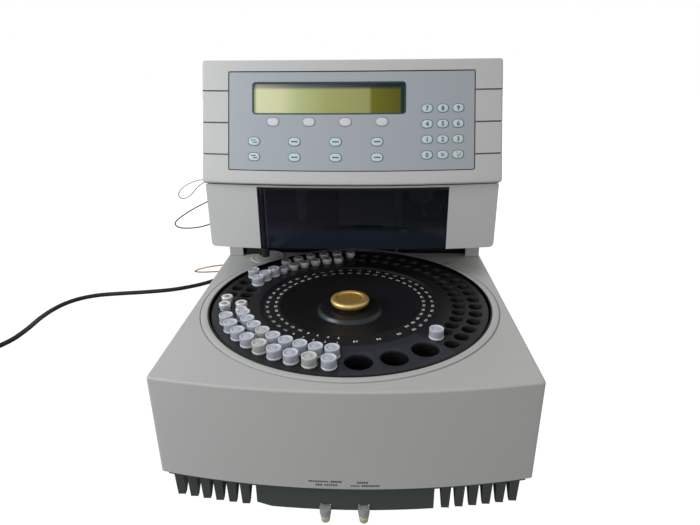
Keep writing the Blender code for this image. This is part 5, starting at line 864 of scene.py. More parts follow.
tray_profile = [
    (RING_EDGES[0], TRAY_TOP), (SKIRT_INNER, TRAY_TOP), (0.0866, BAND_Z + 0.0007), (0.0853, BAND_Z + 0.0007),
    (BAND_OUTER, BAND_Z), (BAND_INNER, BAND_Z), (0.0660, BAND_Z - 0.0012), (0.0400, DISH_Z),
    (0.0322, DISH_Z), (0.0296, 0.1327), (0.0236, 0.1331), (0.0214, HUB_Z), (HUB_BORE, HUB_Z),
    (HUB_BORE, UNDER_Z), (0.0400, UNDER_Z), (BAND_INNER, WEB_Z), (SKIRT_INNER, WEB_Z), (0.0885, TRAY_FOOT),
    (TRAY_RADIUS, TRAY_FOOT), (TRAY_RADIUS, TRAY_TOP), (RING_EDGES[2], TRAY_TOP),
]
tray_curves = [0, 0.0006, 0.0003, 0.0003, 0.0003, 0.0008, 0.004, 0.008, 0.0012, 0.0016, 0.0018, 0.0012,
               0.0004, 0.0004, 0.003, 0.003, 0.001, 0.001, 0.0012, 0.0014, 0]
patches = [turned(rounded(tray_profile, tray_curves, closed=False), TRAY_AXIS, PLACES * SIDE_STEPS,
                  GROUP_ANGLE - 3 * PLACE_ANGLE - math.pi / 2)]
for place_index in range(3, PLACES - 3):
    azimuth = GROUP_ANGLE + PLACE_ANGLE * (place_index + 0.5)
    for low, high, ring in zip(RING_EDGES[:2], RING_EDGES[1:], (INNER_RING, OUTER_RING)):
        patches.append(socket_cell(azimuth, PLACE_ANGLE / 2, low, high, ring, SOCKET_RADIUS, SIDE_STEPS))
for turn in (-1, 0, 1):
    azimuth = GROUP_ANGLE + 2 * turn * PLACE_ANGLE
    patches.append(socket_cell(azimuth, PLACE_ANGLE, RING_EDGES[0], RING_EDGES[2], WIDE_RING, WIDE_RADIUS,
                               2 * SIDE_STEPS))

tray_black, place, vary = finish("tray_black", shade(26, 26, 28), 0.3, specular_ior_level=0.55)
x, y, z = place.parts()
out = away(x, y, TRAY_CENTRE)
azimuth = x.math("ARCTAN2", x, TRAY_Y - y)
from_middle = abs(azimuth - GROUP_ANGLE)
on_ring = ((out - RING_STARTS) * 4000.0).clamped()
in_segment = ((3 * PLACE_ANGLE - from_middle) * 400.0).clamped() * on_ring
seam = (1.0 - (abs(from_middle - 3 * PLACE_ANGLE) * out * 4000.0)).clamped() * on_ring
lathe = (out * LATHE_LINES).wave()
grain = place.noise(1300, 3)
dust = (place.noise(420, 5, 0.7) * 5.0 - 3.1).clamped()
# Painted shade: the tray's outermost edge, by the gap to the liner, and the sockets below their lips are
# painted near black.
rim = ((out - EDGE_SHADE_STARTS) * 3000.0).clamped()
socket_shade = ((TRAY_TOP - 0.0012 - z) * 700.0).clamped() * ((out - SOCKETS_START) * 4000.0).clamped()
tone = (rim + socket_shade).clamped().mix(in_segment.mix(shade(19, 19, 21), shade(43, 45, 52)), shade(5, 5, 6))
tone = seam.mix((dust * 0.35).mix(tone, shade(96, 96, 98)), shade(8, 8, 9))
# Painted highlight: the hub's sloping flank is painted lighter, and made glossier, for its crescent of
# light.
flank_highlight = (1.0 - abs(out - FLANK_MIDDLE) * 420.0).clamped() * 0.45
dished = ((DISH_ENDS - out) * 2500.0).clamped()
tone = flank_highlight.mix(tone, shade(56, 62, 68))
vary(base_color=tone, roughness=0.44 - dished * 0.06 - flank_highlight * 0.16 - in_segment * 0.06 + grain * 0.08,
     normal=(grain * 0.5 + lathe * 0.03).bump(0.00005, 0.4))
tray = surface("sample_tray_moulding", patches, "tray", tray_black)
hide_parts("sample_tray")


# Tray numbers
# White numbers printed on the sunken band, one for each socket of the two rings, and one for
# each wide socket. They read from the front of the tray.
TRAY_DIGIT, TRAY_DIGIT_PITCH, STROKE_SHARE = 0.0036, 0.0024, 0.03
NUMBERS_OUTER, NUMBERS_INNER, NUMBERS_WIDE, WIDE_MIDDLE_NUMBER = 0.0808, 0.0725, 0.0780, 86


def glyph(character, size, bold):
    """A character of Blender's own font as a thin closed mesh, centred, by points and faces. Its
    strokes are thickened by a share of its size."""
    curve = bpy.data.curves.new("glyph", "FONT")
    curve.body = character
    curve.size = size
    curve.offset = size * bold
    curve.resolution_u = 2
    curve.extrude = PRINT_DEPTH / 2
    item = bpy.data.objects.new("glyph", curve)
    bpy.context.scene.collection.objects.link(item)
    mesh = bpy.data.meshes.new_from_object(item.evaluated_get(bpy.context.evaluated_depsgraph_get()))
    shape = bmesh.new()
    shape.from_mesh(mesh)
    bmesh.ops.remove_doubles(shape, verts=shape.verts, dist=size / 1000)
    bmesh.ops.triangulate(shape, faces=shape.faces)
    points = np.array([vertex.co[:] for vertex in shape.verts])
    faces = np.array([[vertex.index for vertex in face.verts] for face in shape.faces])
    shape.free()
    bpy.data.objects.remove(item)
    low, high = points.min(0), points.max(0)
    points[:, :2] -= (low[:2] + high[:2]) / 2
    return points, faces


tray_print = flecked("tray_print", (236, 236, 230), 0.6, 1800, 3, (246, 246, 240), (214, 214, 208))
digits = {digit: glyph(digit, TRAY_DIGIT, STROKE_SHARE) for digit in "0123456789"}


def number_on_tray(number, radius, azimuth):
    """A number's digits side by side, its foot towards the tray's edge."""
    made = []
    text = str(number)
    for i, digit in enumerate(text):
        points, faces = digits[digit]
        side = points[:, 0] + (i - (len(text) - 1) / 2) * TRAY_DIGIT_PITCH
        out = radius - points[:, 1]
        x = out * math.sin(azimuth) + side * math.cos(azimuth)
        y = TRAY_Y - out * math.cos(azimuth) + side * math.sin(azimuth)
        made.append((np.stack([x, y, BAND_Z + PRINT_LIFT + PRINT_DEPTH / 2 + points[:, 2]], -1), faces))
    return made


numbers = []
for place_index in range(3, PLACES - 3):
    azimuth = GROUP_ANGLE - PLACE_ANGLE * (place_index + 0.5)
    first = 2 * (place_index - 3) + 1
    numbers += number_on_tray(first, NUMBERS_OUTER, azimuth)
    numbers += number_on_tray(first + 1, NUMBERS_INNER, azimuth)
for turn in (-1, 0, 1):
    azimuth = GROUP_ANGLE + 2 * turn * PLACE_ANGLE
    numbers += number_on_tray(WIDE_MIDDLE_NUMBER - turn, NUMBERS_WIDE, azimuth)
solid("tray_numbers", numbers, "tray", tray_print)


# Vials
# Glass vials stand in the sockets, as in the photograph: most have white snap caps, and some have
# aluminium crimp caps with a rubber septum.
WHITE_OUTER = [-3.5 - i for i in range(9)] + [-18.5]
WHITE_INNER = [-3.5 - i for i in range(9)] + [3.5, -17.5, -18.5, -19.5]
CRIMP_OUTER = [-13.5, -14.5] + [-21.5 - i for i in range(6)]
CRIMP_INNER = [-12.5, -13.5] + [-20.5 - i for i in range(6)]
TINTED = ((OUTER_RING, -7.5), (OUTER_RING, -4.5), (INNER_RING, -8.5))
VIAL_FLOOR, VIAL_RADIUS, VIAL_NECK, VIAL_LIP, VIAL_TOP = 0.1148, 0.0058, 0.0042, 0.0054, 0.1425
CAP_SKIRT, CAP_RADIUS, CAP_TOP, CAP_HEIGHT = 0.1399, 0.0062, 0.1485, 0.0087
CRIMP_RADIUS, CRIMP_HOLE, CRIMP_TOP = 0.0056, 0.0028, 0.1450


def socket_place(ring, place_index):
    """The middle of a socket on the tray, counted in places from the group's middle."""
    azimuth = GROUP_ANGLE + PLACE_ANGLE * place_index
    return np.array([ring * math.sin(azimuth), TRAY_Y - ring * math.cos(azimuth), 0.0])


white_places = [(OUTER_RING, k) for k in WHITE_OUTER] + [(INNER_RING, k) for k in WHITE_INNER]
crimp_places = [(OUTER_RING, k) for k in CRIMP_OUTER] + [(INNER_RING, k) for k in CRIMP_INNER]
vial_profile = [(0, VIAL_FLOOR), (VIAL_RADIUS, VIAL_FLOOR), (VIAL_RADIUS, 0.1372), (VIAL_NECK, 0.1396),
                (VIAL_NECK, 0.1402), (VIAL_LIP, 0.1406), (VIAL_LIP, VIAL_TOP), (0, VIAL_TOP)]
cap_profile = [(0, 0.1412), (0.0055, 0.1412), (0.0056, CAP_SKIRT), (0.0065, CAP_SKIRT), (0.0065, 0.1411),
               (CAP_RADIUS, 0.1414), (CAP_RADIUS, CAP_TOP), (0.0050, CAP_TOP), (0.0048, 0.1478),
               (0.0022, 0.1478), (0.0019, 0.1482), (0, 0.1482)]
crimp_profile = [(0, 0.1404), (0.0049, 0.1404), (CRIMP_RADIUS, 0.1408), (CRIMP_RADIUS, 0.1447),
                 (0.0052, CRIMP_TOP), (0.0030, CRIMP_TOP), (CRIMP_HOLE, 0.1447), (0, 0.1447)]
septum_profile = [(0, 0.1444), (0.0027, 0.1444), (0.0025, 0.1449), (0.0012, 0.1452), (0, 0.1453)]


def in_sockets(profile, spots, turns):
    """The same turned shape in each of these sockets."""
    return [turned(profile, socket_place(*spot), turns) for spot in spots]


glass, place, vary = finish("vial_glass", shade(226, 230, 232), 0.06, alpha=0.55, ior=1.5)
vary(roughness=0.05 + place.noise(300, 2) * 0.05)
bodies = in_sockets(rounded(vial_profile, 0.0006, 2), white_places + crimp_places, 24)
surface("vial_bodies", bodies, "tray", glass, sharp=45)

plain_places = [spot for spot in white_places if spot not in TINTED]
for label, spots, tint in (("white_caps", plain_places, (1.0, 1.0, 1.0)),
                           ("tinted_caps", list(TINTED), (1.0, 0.98, 0.84))):
    material, place, vary = finish(label, shade(212, 216, 226), 0.3)
    # Painted light by height: the flange at the foot and the rim at the top are painted bright as
    # highlights, the side darker as painted shade, and the top's dip a little darker as painted shade.
    rim, side, dip = (tuple(np.array(shade(*tone)) * tint)
                      for tone in ((232, 236, 243), (160, 164, 174), (196, 200, 210)))
    height = (place.parts()[2] - CAP_SKIRT) / CAP_HEIGHT
    tone = height.ramp((0.0, rim), (0.16, rim), (0.24, side), (0.78, side), (0.86, dip), (0.95, dip),
                       (0.985, rim))
    mottled = (place.noise(420, 3) * 0.5).mix(tone, tuple(np.array(dip) * 0.8))
    vary(base_color=mottled, normal=place.noise(1800, 2).bump(0.00003))
    surface(f"vial_{label}", in_sockets(rounded(cap_profile, 0.0004, 2), spots, 40), "tray", material,
            sharp=50)

crimp_metal, place, vary = finish("crimp_metal", shade(250, 250, 252), 0.3, metallic=0.5)
vary(roughness=0.3 + place.noise(700, 3) * 0.1, normal=place.noise(900, 2).bump(0.000015))
crimps = in_sockets(rounded(crimp_profile, 0.0004, 3), crimp_places, 40)
surface("vial_crimp_caps", crimps, "tray", crimp_metal, sharp=60)
septum = flecked("septum_rubber", (150, 148, 146), 0.5, 500, 3, (168, 166, 164), (126, 124, 124))
surface("vial_septa", in_sockets(septum_profile, crimp_places, 24), "tray", septum)


# Tray knob
# A low gold-anodised aluminium knob, turned with a rolled rim and a shallow dish. It screws down
# on the hub's spigot and holds the tray.
KNOB_RADIUS, KNOB_DISH_Z, KNOB_TOP, KNOB_UNDER, KNOB_FOOT = 0.0190, 0.1411, 0.1425, 0.1369, 0.1336
KNOB_RIM_STARTS = 0.0132
gilt, place, vary = finish("gilt_anodised", shade(226, 168, 62), 0.4, metallic=0.8)
x, y, z = place.parts()
wear = place.noise(260, 4)
# Painted highlight: the rolled rim is painted brighter gold than the dish.
dish_gold = wear.mix(shade(232, 178, 88), shade(246, 204, 118))
rim_highlight_gold = wear.mix(shade(240, 196, 112), shade(255, 224, 150))
on_rim = ((away(x, y, TRAY_CENTRE) - KNOB_RIM_STARTS) * 900.0).clamped()
vary(base_color=on_rim.mix(dish_gold, rim_highlight_gold), roughness=0.36 + wear * 0.12)
knob_profile = [(0, KNOB_DISH_Z), (0.0128, KNOB_DISH_Z), (0.0140, KNOB_TOP), (0.0172, KNOB_TOP),
                (KNOB_RADIUS, KNOB_DISH_Z), (KNOB_RADIUS, 0.1388), (0.0180, KNOB_UNDER),
                (0.0115, KNOB_UNDER), (0.0112, KNOB_FOOT), (HUB_BORE, KNOB_FOOT),
                (HUB_BORE, KNOB_UNDER), (0, KNOB_UNDER)]
knob_curves = [0, 0.0012, 0.0008, 0.0012, 0.0014, 0.0014, 0.0008, 0.0004, 0.0004, 0, 0, 0]
knob_patch = turned(rounded(knob_profile, knob_curves), TRAY_AXIS, 128)
knob = surface("tray_knob_turned", [knob_patch], "knob", gilt)
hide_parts("tray_knob")


# Panel bezel
# The pale grey moulding round the keypad, bowed like the cover and tilted back. Three grooves run
# round each side of it, and a sunken bed takes the keypad film.
TILT, PANEL_HEIGHT, PANEL_BOW, PANEL_HALF = math.radians(20.7), 0.1222, 0.014, 0.150
BEZEL_EDGE, BEZEL_CORNER, BEZEL_BACK = 0.0018, 0.0028, -0.020
TOP_Z, PANEL_FOOT_Y = 0.360, -0.08324
PANEL_FOOT_Z = TOP_Z - PANEL_HEIGHT * math.cos(TILT) + BEZEL_EDGE * math.sin(TILT)
GROOVES, GROOVE_HALF, GROOVE_DEPTH = (0.0285, 0.0600, 0.0915), 0.0007, 0.0014
FILM, FILM_TURN = (-0.1218, 0.1218, 0.0135, 0.1105), 0.0020
SCREEN, SCREEN_TURN = (-0.0964, 0.0527, 0.0700, 0.0992), 0.0025
BED_DEPTH, BED_GAP, SCREEN_DEPTH = 0.0017, 0.0003, 0.0128
BED = (FILM[0] - BED_GAP, FILM[1] + BED_GAP, FILM[2] - BED_GAP, FILM[3] + BED_GAP)


def on_panel(x, level, rise, bowed=1.0):
    """Places on the tilted panel: x across it, level up its slope, rise out of its bowed face."""
    x, level, rise = np.broadcast_arrays(x, level, rise)
    ahead = bowed * PANEL_BOW * (1 - (x / PANEL_HALF) ** 2)
    y = PANEL_FOOT_Y + level * math.sin(TILT) - rise * math.cos(TILT) - ahead
    return np.stack([x, y, PANEL_FOOT_Z + level * math.cos(TILT) + rise * math.sin(TILT)], -1)


def inside(value, low, high, slant=0.00015):
    """1 between low and high, 0 outside, with a steep straight slope at each end."""
    return np.clip((value - low) / slant, 0, 1) * np.clip((high - value) / slant, 0, 1)


def lines(low, high, steps, *marks):
    """Grid lines from low to high, with a pair at both sides of each mark."""
    pairs = [mark + shift for mark in marks for shift in (-0.00015, 0.0, 0.00015)]
    even = np.linspace(low, high, steps + 1)
    if pairs:
        even = even[np.abs(even[:, None] - np.array(pairs)).min(1) > 0.0008]
    return np.unique(np.concatenate([even, pairs, [low, high]]))


def perimeter(grid):
    """The rim of a grid, once round, as one row of points."""
    return np.concatenate([grid[0, :-1], grid[:-1, -1], grid[-1, :0:-1], grid[::-1, 0]])


def even_grid(box, gap, columns, rows):
    """A grid of even squares over a box, that far inside its rim."""
    across = np.linspace(box[0] + gap, box[1] - gap, columns)
    return np.meshgrid(across, np.linspace(box[2] + gap, box[3] - gap, rows), indexing="ij")


def panel_slab(x, level, rise, back, back_bow=1.0):
    """A slab on the panel: its face, its back and the wall that joins their rims."""
    face = on_panel(x, level, rise)
    rear = on_panel(x, level, back + 0 * rise, back_bow)
    return [face, rear, np.stack([perimeter(face), perimeter(rear)])]


def bezel_slab():
    """The bezel's face as a height over its grid: rounded down at its rim, with the grooves, the
    film's bed and the display's opening sunk in it."""
    turn = BEZEL_EDGE * (1 - np.cos(np.linspace(0, math.pi / 2, 5)))
    ends = np.unique(np.concatenate([turn, BEZEL_CORNER * (1 - np.cos(np.linspace(0, math.pi / 2, 6)))]))
    marks = [*BED[:2], *SCREEN[:2], FILM[0] - 0.0012, FILM[1] + 0.0012]
    across = lines(-PANEL_HALF + BEZEL_CORNER, PANEL_HALF - BEZEL_CORNER, 72, *marks)
    x = np.concatenate([-PANEL_HALF + ends[:-1], across, PANEL_HALF - ends[-2::-1]])
    marks = [*BED[2:], *SCREEN[2:]]
    marks += [groove + side * GROOVE_HALF for groove in GROOVES for side in (-1, 1)]
    along = lines(BEZEL_EDGE, PANEL_HEIGHT - BEZEL_EDGE, 30, *marks)
    level = np.concatenate([turn[:-1], along, PANEL_HEIGHT - turn[-2::-1]])
    x, level = np.meshgrid(x, level, indexing="ij")
    side = np.minimum(PANEL_HALF - np.abs(x), BEZEL_CORNER)
    drop = BEZEL_CORNER - np.sqrt(BEZEL_CORNER**2 - (BEZEL_CORNER - side) ** 2)
    level = np.clip(level, drop, PANEL_HEIGHT - drop)
    grooved = sum(inside(level, groove - GROOVE_HALF, groove + GROOVE_HALF) for groove in GROOVES)
    x = np.clip(x, -PANEL_HALF + GROOVE_DEPTH * grooved, PANEL_HALF - GROOVE_DEPTH * grooved)
    from_end = PANEL_HALF - np.abs(x) - GROOVE_DEPTH * grooved * (side < BEZEL_CORNER)
    from_rim = np.minimum.reduce([from_end, level - drop, PANEL_HEIGHT - drop - level])
    short = np.clip(BEZEL_EDGE - from_rim, 0, BEZEL_EDGE)
    rise = np.sqrt(BEZEL_EDGE**2 - short**2) - BEZEL_EDGE
    rise -= GROOVE_DEPTH * grooved * (np.abs(x) > FILM[1] + 0.0013)
    rise -= BED_DEPTH * inside(x, *BED[:2]) * inside(level, *BED[2:])
    rise -= (SCREEN_DEPTH - BED_DEPTH) * inside(x, *SCREEN[:2]) * inside(level, *SCREEN[2:])
    return panel_slab(x, level, rise, BEZEL_BACK, 0.0)


def panel_place(place):
    """How far across the panel and up its slope a point lies, whatever its depth."""
    x, y, z = place.parts()
    ahead = (1.0 - x * x / PANEL_HALF**2) * PANEL_BOW
    return x, (z - PANEL_FOOT_Z) * math.cos(TILT) + (y - PANEL_FOOT_Y + ahead) * math.sin(TILT)


def from_frame(x, level, box, turn):
    """How far out of a frame with round corners a point lies, below 0 inside it."""
    off_x = abs(x - (box[0] + box[1]) / 2) - ((box[1] - box[0]) / 2 - turn)
    off_y = abs(level - (box[2] + box[3]) / 2) - ((box[3] - box[2]) / 2 - turn)
    out_x, out_y = off_x.larger(0.0), off_y.larger(0.0)
    within = off_x.larger(off_y).smaller(0.0)
    return (out_x * out_x + out_y * out_y).root() + within - turn


def groove_lines(place):
    """Painted shade in the grooves beside the film and in the gap round it: 1 there, 0 elsewhere."""
    x, level = panel_place(place)
    grooved = sum(((1.25 - abs(level - groove) * (1 / GROOVE_HALF)) * 4.0).clamped() for groove in GROOVES)
    gap = (1.0 - abs(from_frame(x, level, FILM, FILM_TURN)) * 1600.0) * 3.0
    return (grooved * ((abs(x) - FILM[1]) * 4000.0).clamped() * 0.75 + gap.clamped()).clamped()


bezel_grey = textured_paint("pale_moulding", shade(206, 206, 203), 0.48, 1500, 0.00005,
                            shade_lines=groove_lines)
bezel = surface("panel_bezel_moulding", bezel_slab(), "instrument", bezel_grey)
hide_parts("panel_bezel")


# Display
# A liquid crystal module behind the bezel: a yellow-green cell whose glass lies a little below the
# film. Its colour is painted bright at the left as a reflection, it has a painted shadow along its top,
# and its right end is painted dim as shade.
CELL_TOP, CELL_BACK, CELL_GAP = -0.0020, -0.0125, 0.0002
DOT_LINES = 5200.0
display_green, place, vary = finish("display_green", shade(196, 200, 110), 0.3, specular_ior_level=0.3)
across, level = panel_place(place)
share = (across - SCREEN[0]) / (SCREEN[1] - SCREEN[0])
height = (level - SCREEN[2]) / (SCREEN[3] - SCREEN[2])
# Painted light: cell is a painted reflection, bright at the left and dimmer to the right; band paints the
# shadow of the opening's top edge, and edge paints shade at the right end. The dots are the cell's own
# pattern.
cell = share.ramp((0.0, shade(236, 236, 190)), (0.18, shade(230, 230, 178)), (0.30, shade(196, 206, 146)),
                  (0.50, shade(178, 178, 112)), (0.765, shade(166, 168, 104)), (0.785, shade(116, 115, 20)),
                  (1.0, shade(92, 88, 4)))
shaded = share.ramp((0.0, shade(178, 176, 160)), (0.3, shade(112, 110, 114)), (0.6, shade(72, 72, 84)),
                    (0.85, shade(30, 40, 52)), (1.0, shade(14, 30, 36)))
dots = ((across * DOT_LINES).wave() * (level * DOT_LINES).wave() * 0.5 + 0.5).clamped()
band = ((height - 0.79) * 10.0).clamped()
edge = ((share - 0.972) * 200.0).clamped()
dotted = (dots * 0.08).mix(cell, shade(120, 124, 60))
vary(base_color=edge.mix(band.mix(dotted, shaded), shade(18, 44, 46)))
x, level = even_grid(SCREEN, CELL_GAP, 41, 7)
display = surface("display_cell", panel_slab(x, level, CELL_TOP + 0 * x, CELL_BACK), "instrument",
                  display_green)
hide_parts("display_module")


# Keypad film
# One sheet of bluish grey membrane, printed from behind, laid in the bezel's bed. It is cut out
# round the display, which has a printed teal frame, and round each key.
KEY_SQUARENESS, KEY_TOP, KEY_FOOT, KEY_GAP = 2.5, 0.0001, -0.0010, 0.00025
FILM_TOP, FILM_BACK, CUT_REACH = -0.0004, -0.0014, (-0.004, 0.004)
KEYS = {}
for i in range(4):
    KEYS[f"key_soft_{i + 1}"] = (-0.0765 + i * 0.0357, 0.0615, 0.0122, 0.0086)
for i in range(8):
    KEYS[f"key_function_{i + 1}"] = (-0.0956 + i % 4 * 0.0405, 0.0421 - i // 4 * 0.0152, 0.0120, 0.0086)
for i, label in enumerate(("7", "8", "9", "4", "5", "6", "1", "2", "3", "0", "clear", "enter")):
    KEYS[f"key_{label}"] = (0.0746 + i % 3 * 0.0153, 0.0739 - i // 3 * 0.0151, 0.0114, 0.0083)


def key_ring(x, level, width, height, share, turns=48):
    """A squared ellipse |x/a|^n + |y/b|^n = 1 on the panel, at a share of its size."""
    across, rise = squared(np.linspace(0, math.tau, turns + 1), KEY_SQUARENESS)
    return x + share * width / 2 * across, level + share * height / 2 * rise


def cutter(rings):
    """A closed tool from rings of points, for a cut."""
    return np.array([rings[0].mean(0) + 0 * rings[0], *rings, rings[-1].mean(0) + 0 * rings[-1]])


film, place, vary = finish("keypad_film", shade(176, 182, 187), 0.42)
across, level = panel_place(place)
teal_frame = (1.0 - (from_frame(across, level, SCREEN, SCREEN_TURN) - 0.0013) * 6000.0).clamped()
# Painted shade: a dark line along the film's rim, in the gap to the bezel.
film_gap_shade = ((from_frame(across, level, FILM, FILM_TURN) + 0.0006) * 6000.0).clamped()
speck = place.noise(2300, 2)
tone = (speck * 0.5).mix(shade(178, 184, 189), shade(164, 170, 175))
tone = film_gap_shade.mix(teal_frame.mix(tone, shade(34, 72, 76)), shade(52, 56, 58))
vary(base_color=tone, normal=speck.bump(0.00003, 0.4), roughness=0.38 + speck * 0.1)
x, level = even_grid(FILM, BED_GAP, 97, 25)
sheet = panel_slab(x, level, FILM_TOP + 0 * x, FILM_BACK)
overlay = surface("keypad_film_sheet", sheet, "instrument", film)
holes = []
for x0, level0, width, height in KEYS.values():
    ring = key_ring(x0, level0, width + 2 * KEY_GAP, height + 2 * KEY_GAP, 1.0, 32)
    holes.append(cutter([on_panel(*ring, rise) for rise in CUT_REACH]))
left, right, low, high = SCREEN
corners = rounded([(left, low), (right, low), (right, high), (left, high)], 0.002)
sides = [np.linspace(a, b, 9)[:-1] if np.linalg.norm(b - a) > 0.01 else a[None]
         for a, b in zip(corners[:-1], corners[1:])]
corners = np.concatenate(sides + [corners[:1]])
holes.append(cutter([on_panel(*corners.T, rise) for rise in CUT_REACH]))
cut_out(overlay, surface("film_cutter", holes, "instrument"))
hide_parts("keypad_overlay")


# Keys
# Domed pads under the film's openings, pale with a printed teal outline: four without a mark
# under the display, eight with a short line of print, and a number pad.
KEY_DIGIT, SIGN_LIFT = 0.0060, 0.00013
TWO_LINES = ("1", "5")
KEY_RISE = ((0.0, 0.00012), (0.35, 0.0001), (0.7, 0.0), (0.86, -0.00008), (0.95, -0.0002), (1.0, -0.0005))


def key_finish(name, pad, edge):
    """The pad's colour, with a printed outline near its rim."""
    material, place, vary = finish(name, pad, 0.4)
    rim = place.node("Attribute", {"attribute_name": "spot"}, {}, 1).parts()[2]
    outline = ((rim - 0.86) * 30.0).clamped()
    grain = place.noise(1900, 2)
    vary(base_color=outline.mix((grain * 0.4).mix(pad, toned(pad, 0.85)), edge),
         normal=grain.bump(0.00002, 0.4))
    return material


def slanted(part, angle):
    """A part turned in its own plane."""
    points, faces = part
    return turned_to(points, angle, (0, 0, 0)), faces


white_pad = key_finish("key_grey", shade(228, 226, 229), shade(168, 172, 176))
aqua_pad = key_finish("key_white", shade(212, 230, 231), shade(126, 150, 154))
key_print = flecked("key_print", (52, 88, 94), 0.5, 2500, 2, (44, 82, 88), (70, 104, 110))
key_digits = {digit: glyph(digit, KEY_DIGIT, STROKE_SHARE) for digit in "0123456789"}

for name, (x0, level0, width, height) in KEYS.items():
    rows = [(share, KEY_TOP + rise) for share, rise in KEY_RISE] + [(1.0, KEY_FOOT), (0.0, KEY_FOOT)]
    pad, marks = [], []
    for share, rise in rows:
        x, level = key_ring(x0, level0, width, height, share)
        pad.append(on_panel(x, level, rise))
        marks.append(np.stack([x, level, share + 0 * x], -1))
    material = white_pad if "soft" in name else aqua_pad
    piece = surface(name + "_pad", [np.array(pad)], name + "_cap", material, marks=[np.array(marks)])
    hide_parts(name)
    label = name.split("_")[-1]
    if "soft" in name:
        continue
    if "function" in name:
        if label in TWO_LINES:
            parts = [bar(-0.0008, 0.0012, 0.0056, 0.0009), bar(0.0010, -0.0010, 0.0046, 0.0009)]
        else:
            parts = [bar(0.0, 0.0, 0.0064, 0.0012)]
    elif label == "clear":
        parts = [slanted(bar(0, 0, 0.0042, 0.0007), angle) for angle in (math.pi / 4, -math.pi / 4)]
    elif label == "enter":
        parts = [bar(0.0003, -0.0006, 0.0040, 0.0006), bar(0.0020, 0.0004, 0.0006, 0.0026),
                 slanted(bar(-0.0012, -0.0017, 0.0018, 0.0006), math.pi / 4),
                 slanted(bar(-0.0021, 0.0007, 0.0018, 0.0006), -math.pi / 4)]
    else:
        parts = [key_digits[label]]
    lifted = []
    for points, faces in parts:
        rise = KEY_TOP + SIGN_LIFT + points[:, 2]
        lifted.append((on_panel(x0 + points[:, 0], level0 + points[:, 1], rise), faces))
    solid(name + "_print", lifted, name + "_cap", key_print)


# Front housing
# The grey moulding under and behind the panel. Its two cheeks flank the window, and its neck joins
# the bezel to the casing. It is fixed with screws from behind.
housing_grey = textured_paint("housing_grey", shade(211, 211, 209), 0.5)
housing = recast("front_housing", "front_housing_moulding", housing_grey, 0.0009, 3)


# Front window
# Smoked acrylic in the bow of the housing, thermoformed with a rolled left edge that turns on a
# steel pin. It swings out to the left.
CHEEK_CORNER_Y, CHEEK_BOW, CHEEK_HALF = -0.0795, 0.012, 0.148
WINDOW_LEFT, WINDOW_RIGHT, WINDOW_FOOT, WINDOW_TOP = -0.0930, 0.0965, 0.1770, 0.24132
HINGE_X, WINDOW_SINK, WINDOW_THICK = -0.0903, 0.0008, 0.003
WINDOW_PALE_Z, WINDOW_BEND = 0.1955, 0.0034


def cheek_front(x):
    """The depth of the housing's bowed front at x: foremost in the middle."""
    return CHEEK_CORNER_Y - CHEEK_BOW * (1 - (x / CHEEK_HALF) ** 2)


def window_sheet():
    """A rounded rectangle of thickness by height, carried along the bow."""
    x = np.linspace(HINGE_X + 0.001, WINDOW_RIGHT, 41)
    middle = cheek_front(x) + WINDOW_SINK + WINDOW_THICK / 2
    slope = 2 * CHEEK_BOW * x / CHEEK_HALF**2
    normal = np.stack([slope, -np.ones_like(slope)], -1) / np.sqrt(1 + slope**2)[:, None]
    half = WINDOW_THICK / 2
    corners = [(-half, WINDOW_FOOT), (half, WINDOW_FOOT), (half, WINDOW_TOP), (-half, WINDOW_TOP)]
    section = rounded(corners, 0.0007, 3)
    path = np.stack([x, middle], -1)
    flat = path[:, None] + normal[:, None] * section[None, :, :1]
    grid = np.concatenate([flat, np.broadcast_to(section[None, :, 1:], (*flat.shape[:2], 1))], -1)
    ends = [grid[i].mean(0) + 0 * grid[i] for i in (0, -1)]
    return np.concatenate([ends[:1], grid, ends[1:]])


smoked, place, vary = finish("smoked_acrylic", shade(16, 17, 30), 0.05, alpha=0.64, specular_ior_level=0.28)
smear = (place.noise(38, 4, 0.7) * 3.0 - 1.5).clamped()
x, y, z = place.parts()
# Painted light on the pane: its colour darkens from left to right, a paler band low down is a painted
# reflection of the deck, and a pale line down the rolled bend is a painted highlight.
across = (x - WINDOW_LEFT) / (WINDOW_RIGHT - WINDOW_LEFT)
low = (1.0 - (z - WINDOW_PALE_Z) * 160.0).clamped()
tint = across.ramp((0.0, shade(26, 21, 37)), (0.35, shade(17, 14, 22)), (0.5, shade(8, 11, 17)),
                   (1.0, shade(9, 13, 18)))
bend_highlight = (1.0 - abs(x - HINGE_X - WINDOW_BEND) * 3500.0).clamped() * 0.55
vary(base_color=bend_highlight.mix(low.mix(tint, shade(36, 44, 57)), shade(150, 150, 176)),
     roughness=0.04 + smear * 0.08)
hinge_y = cheek_front(HINGE_X) + WINDOW_SINK + WINDOW_THICK / 2
barrel = [(0.0015, WINDOW_FOOT), (0.0027, WINDOW_FOOT), (0.0027, WINDOW_TOP), (0.0015, WINDOW_TOP)]
rolled_edge = turned(rounded(barrel, 0.0004, 2), (HINGE_X, hinge_y, 0), 40)
window = surface("front_window_pane", [window_sheet(), rolled_edge], "window", smoked)
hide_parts("front_window")


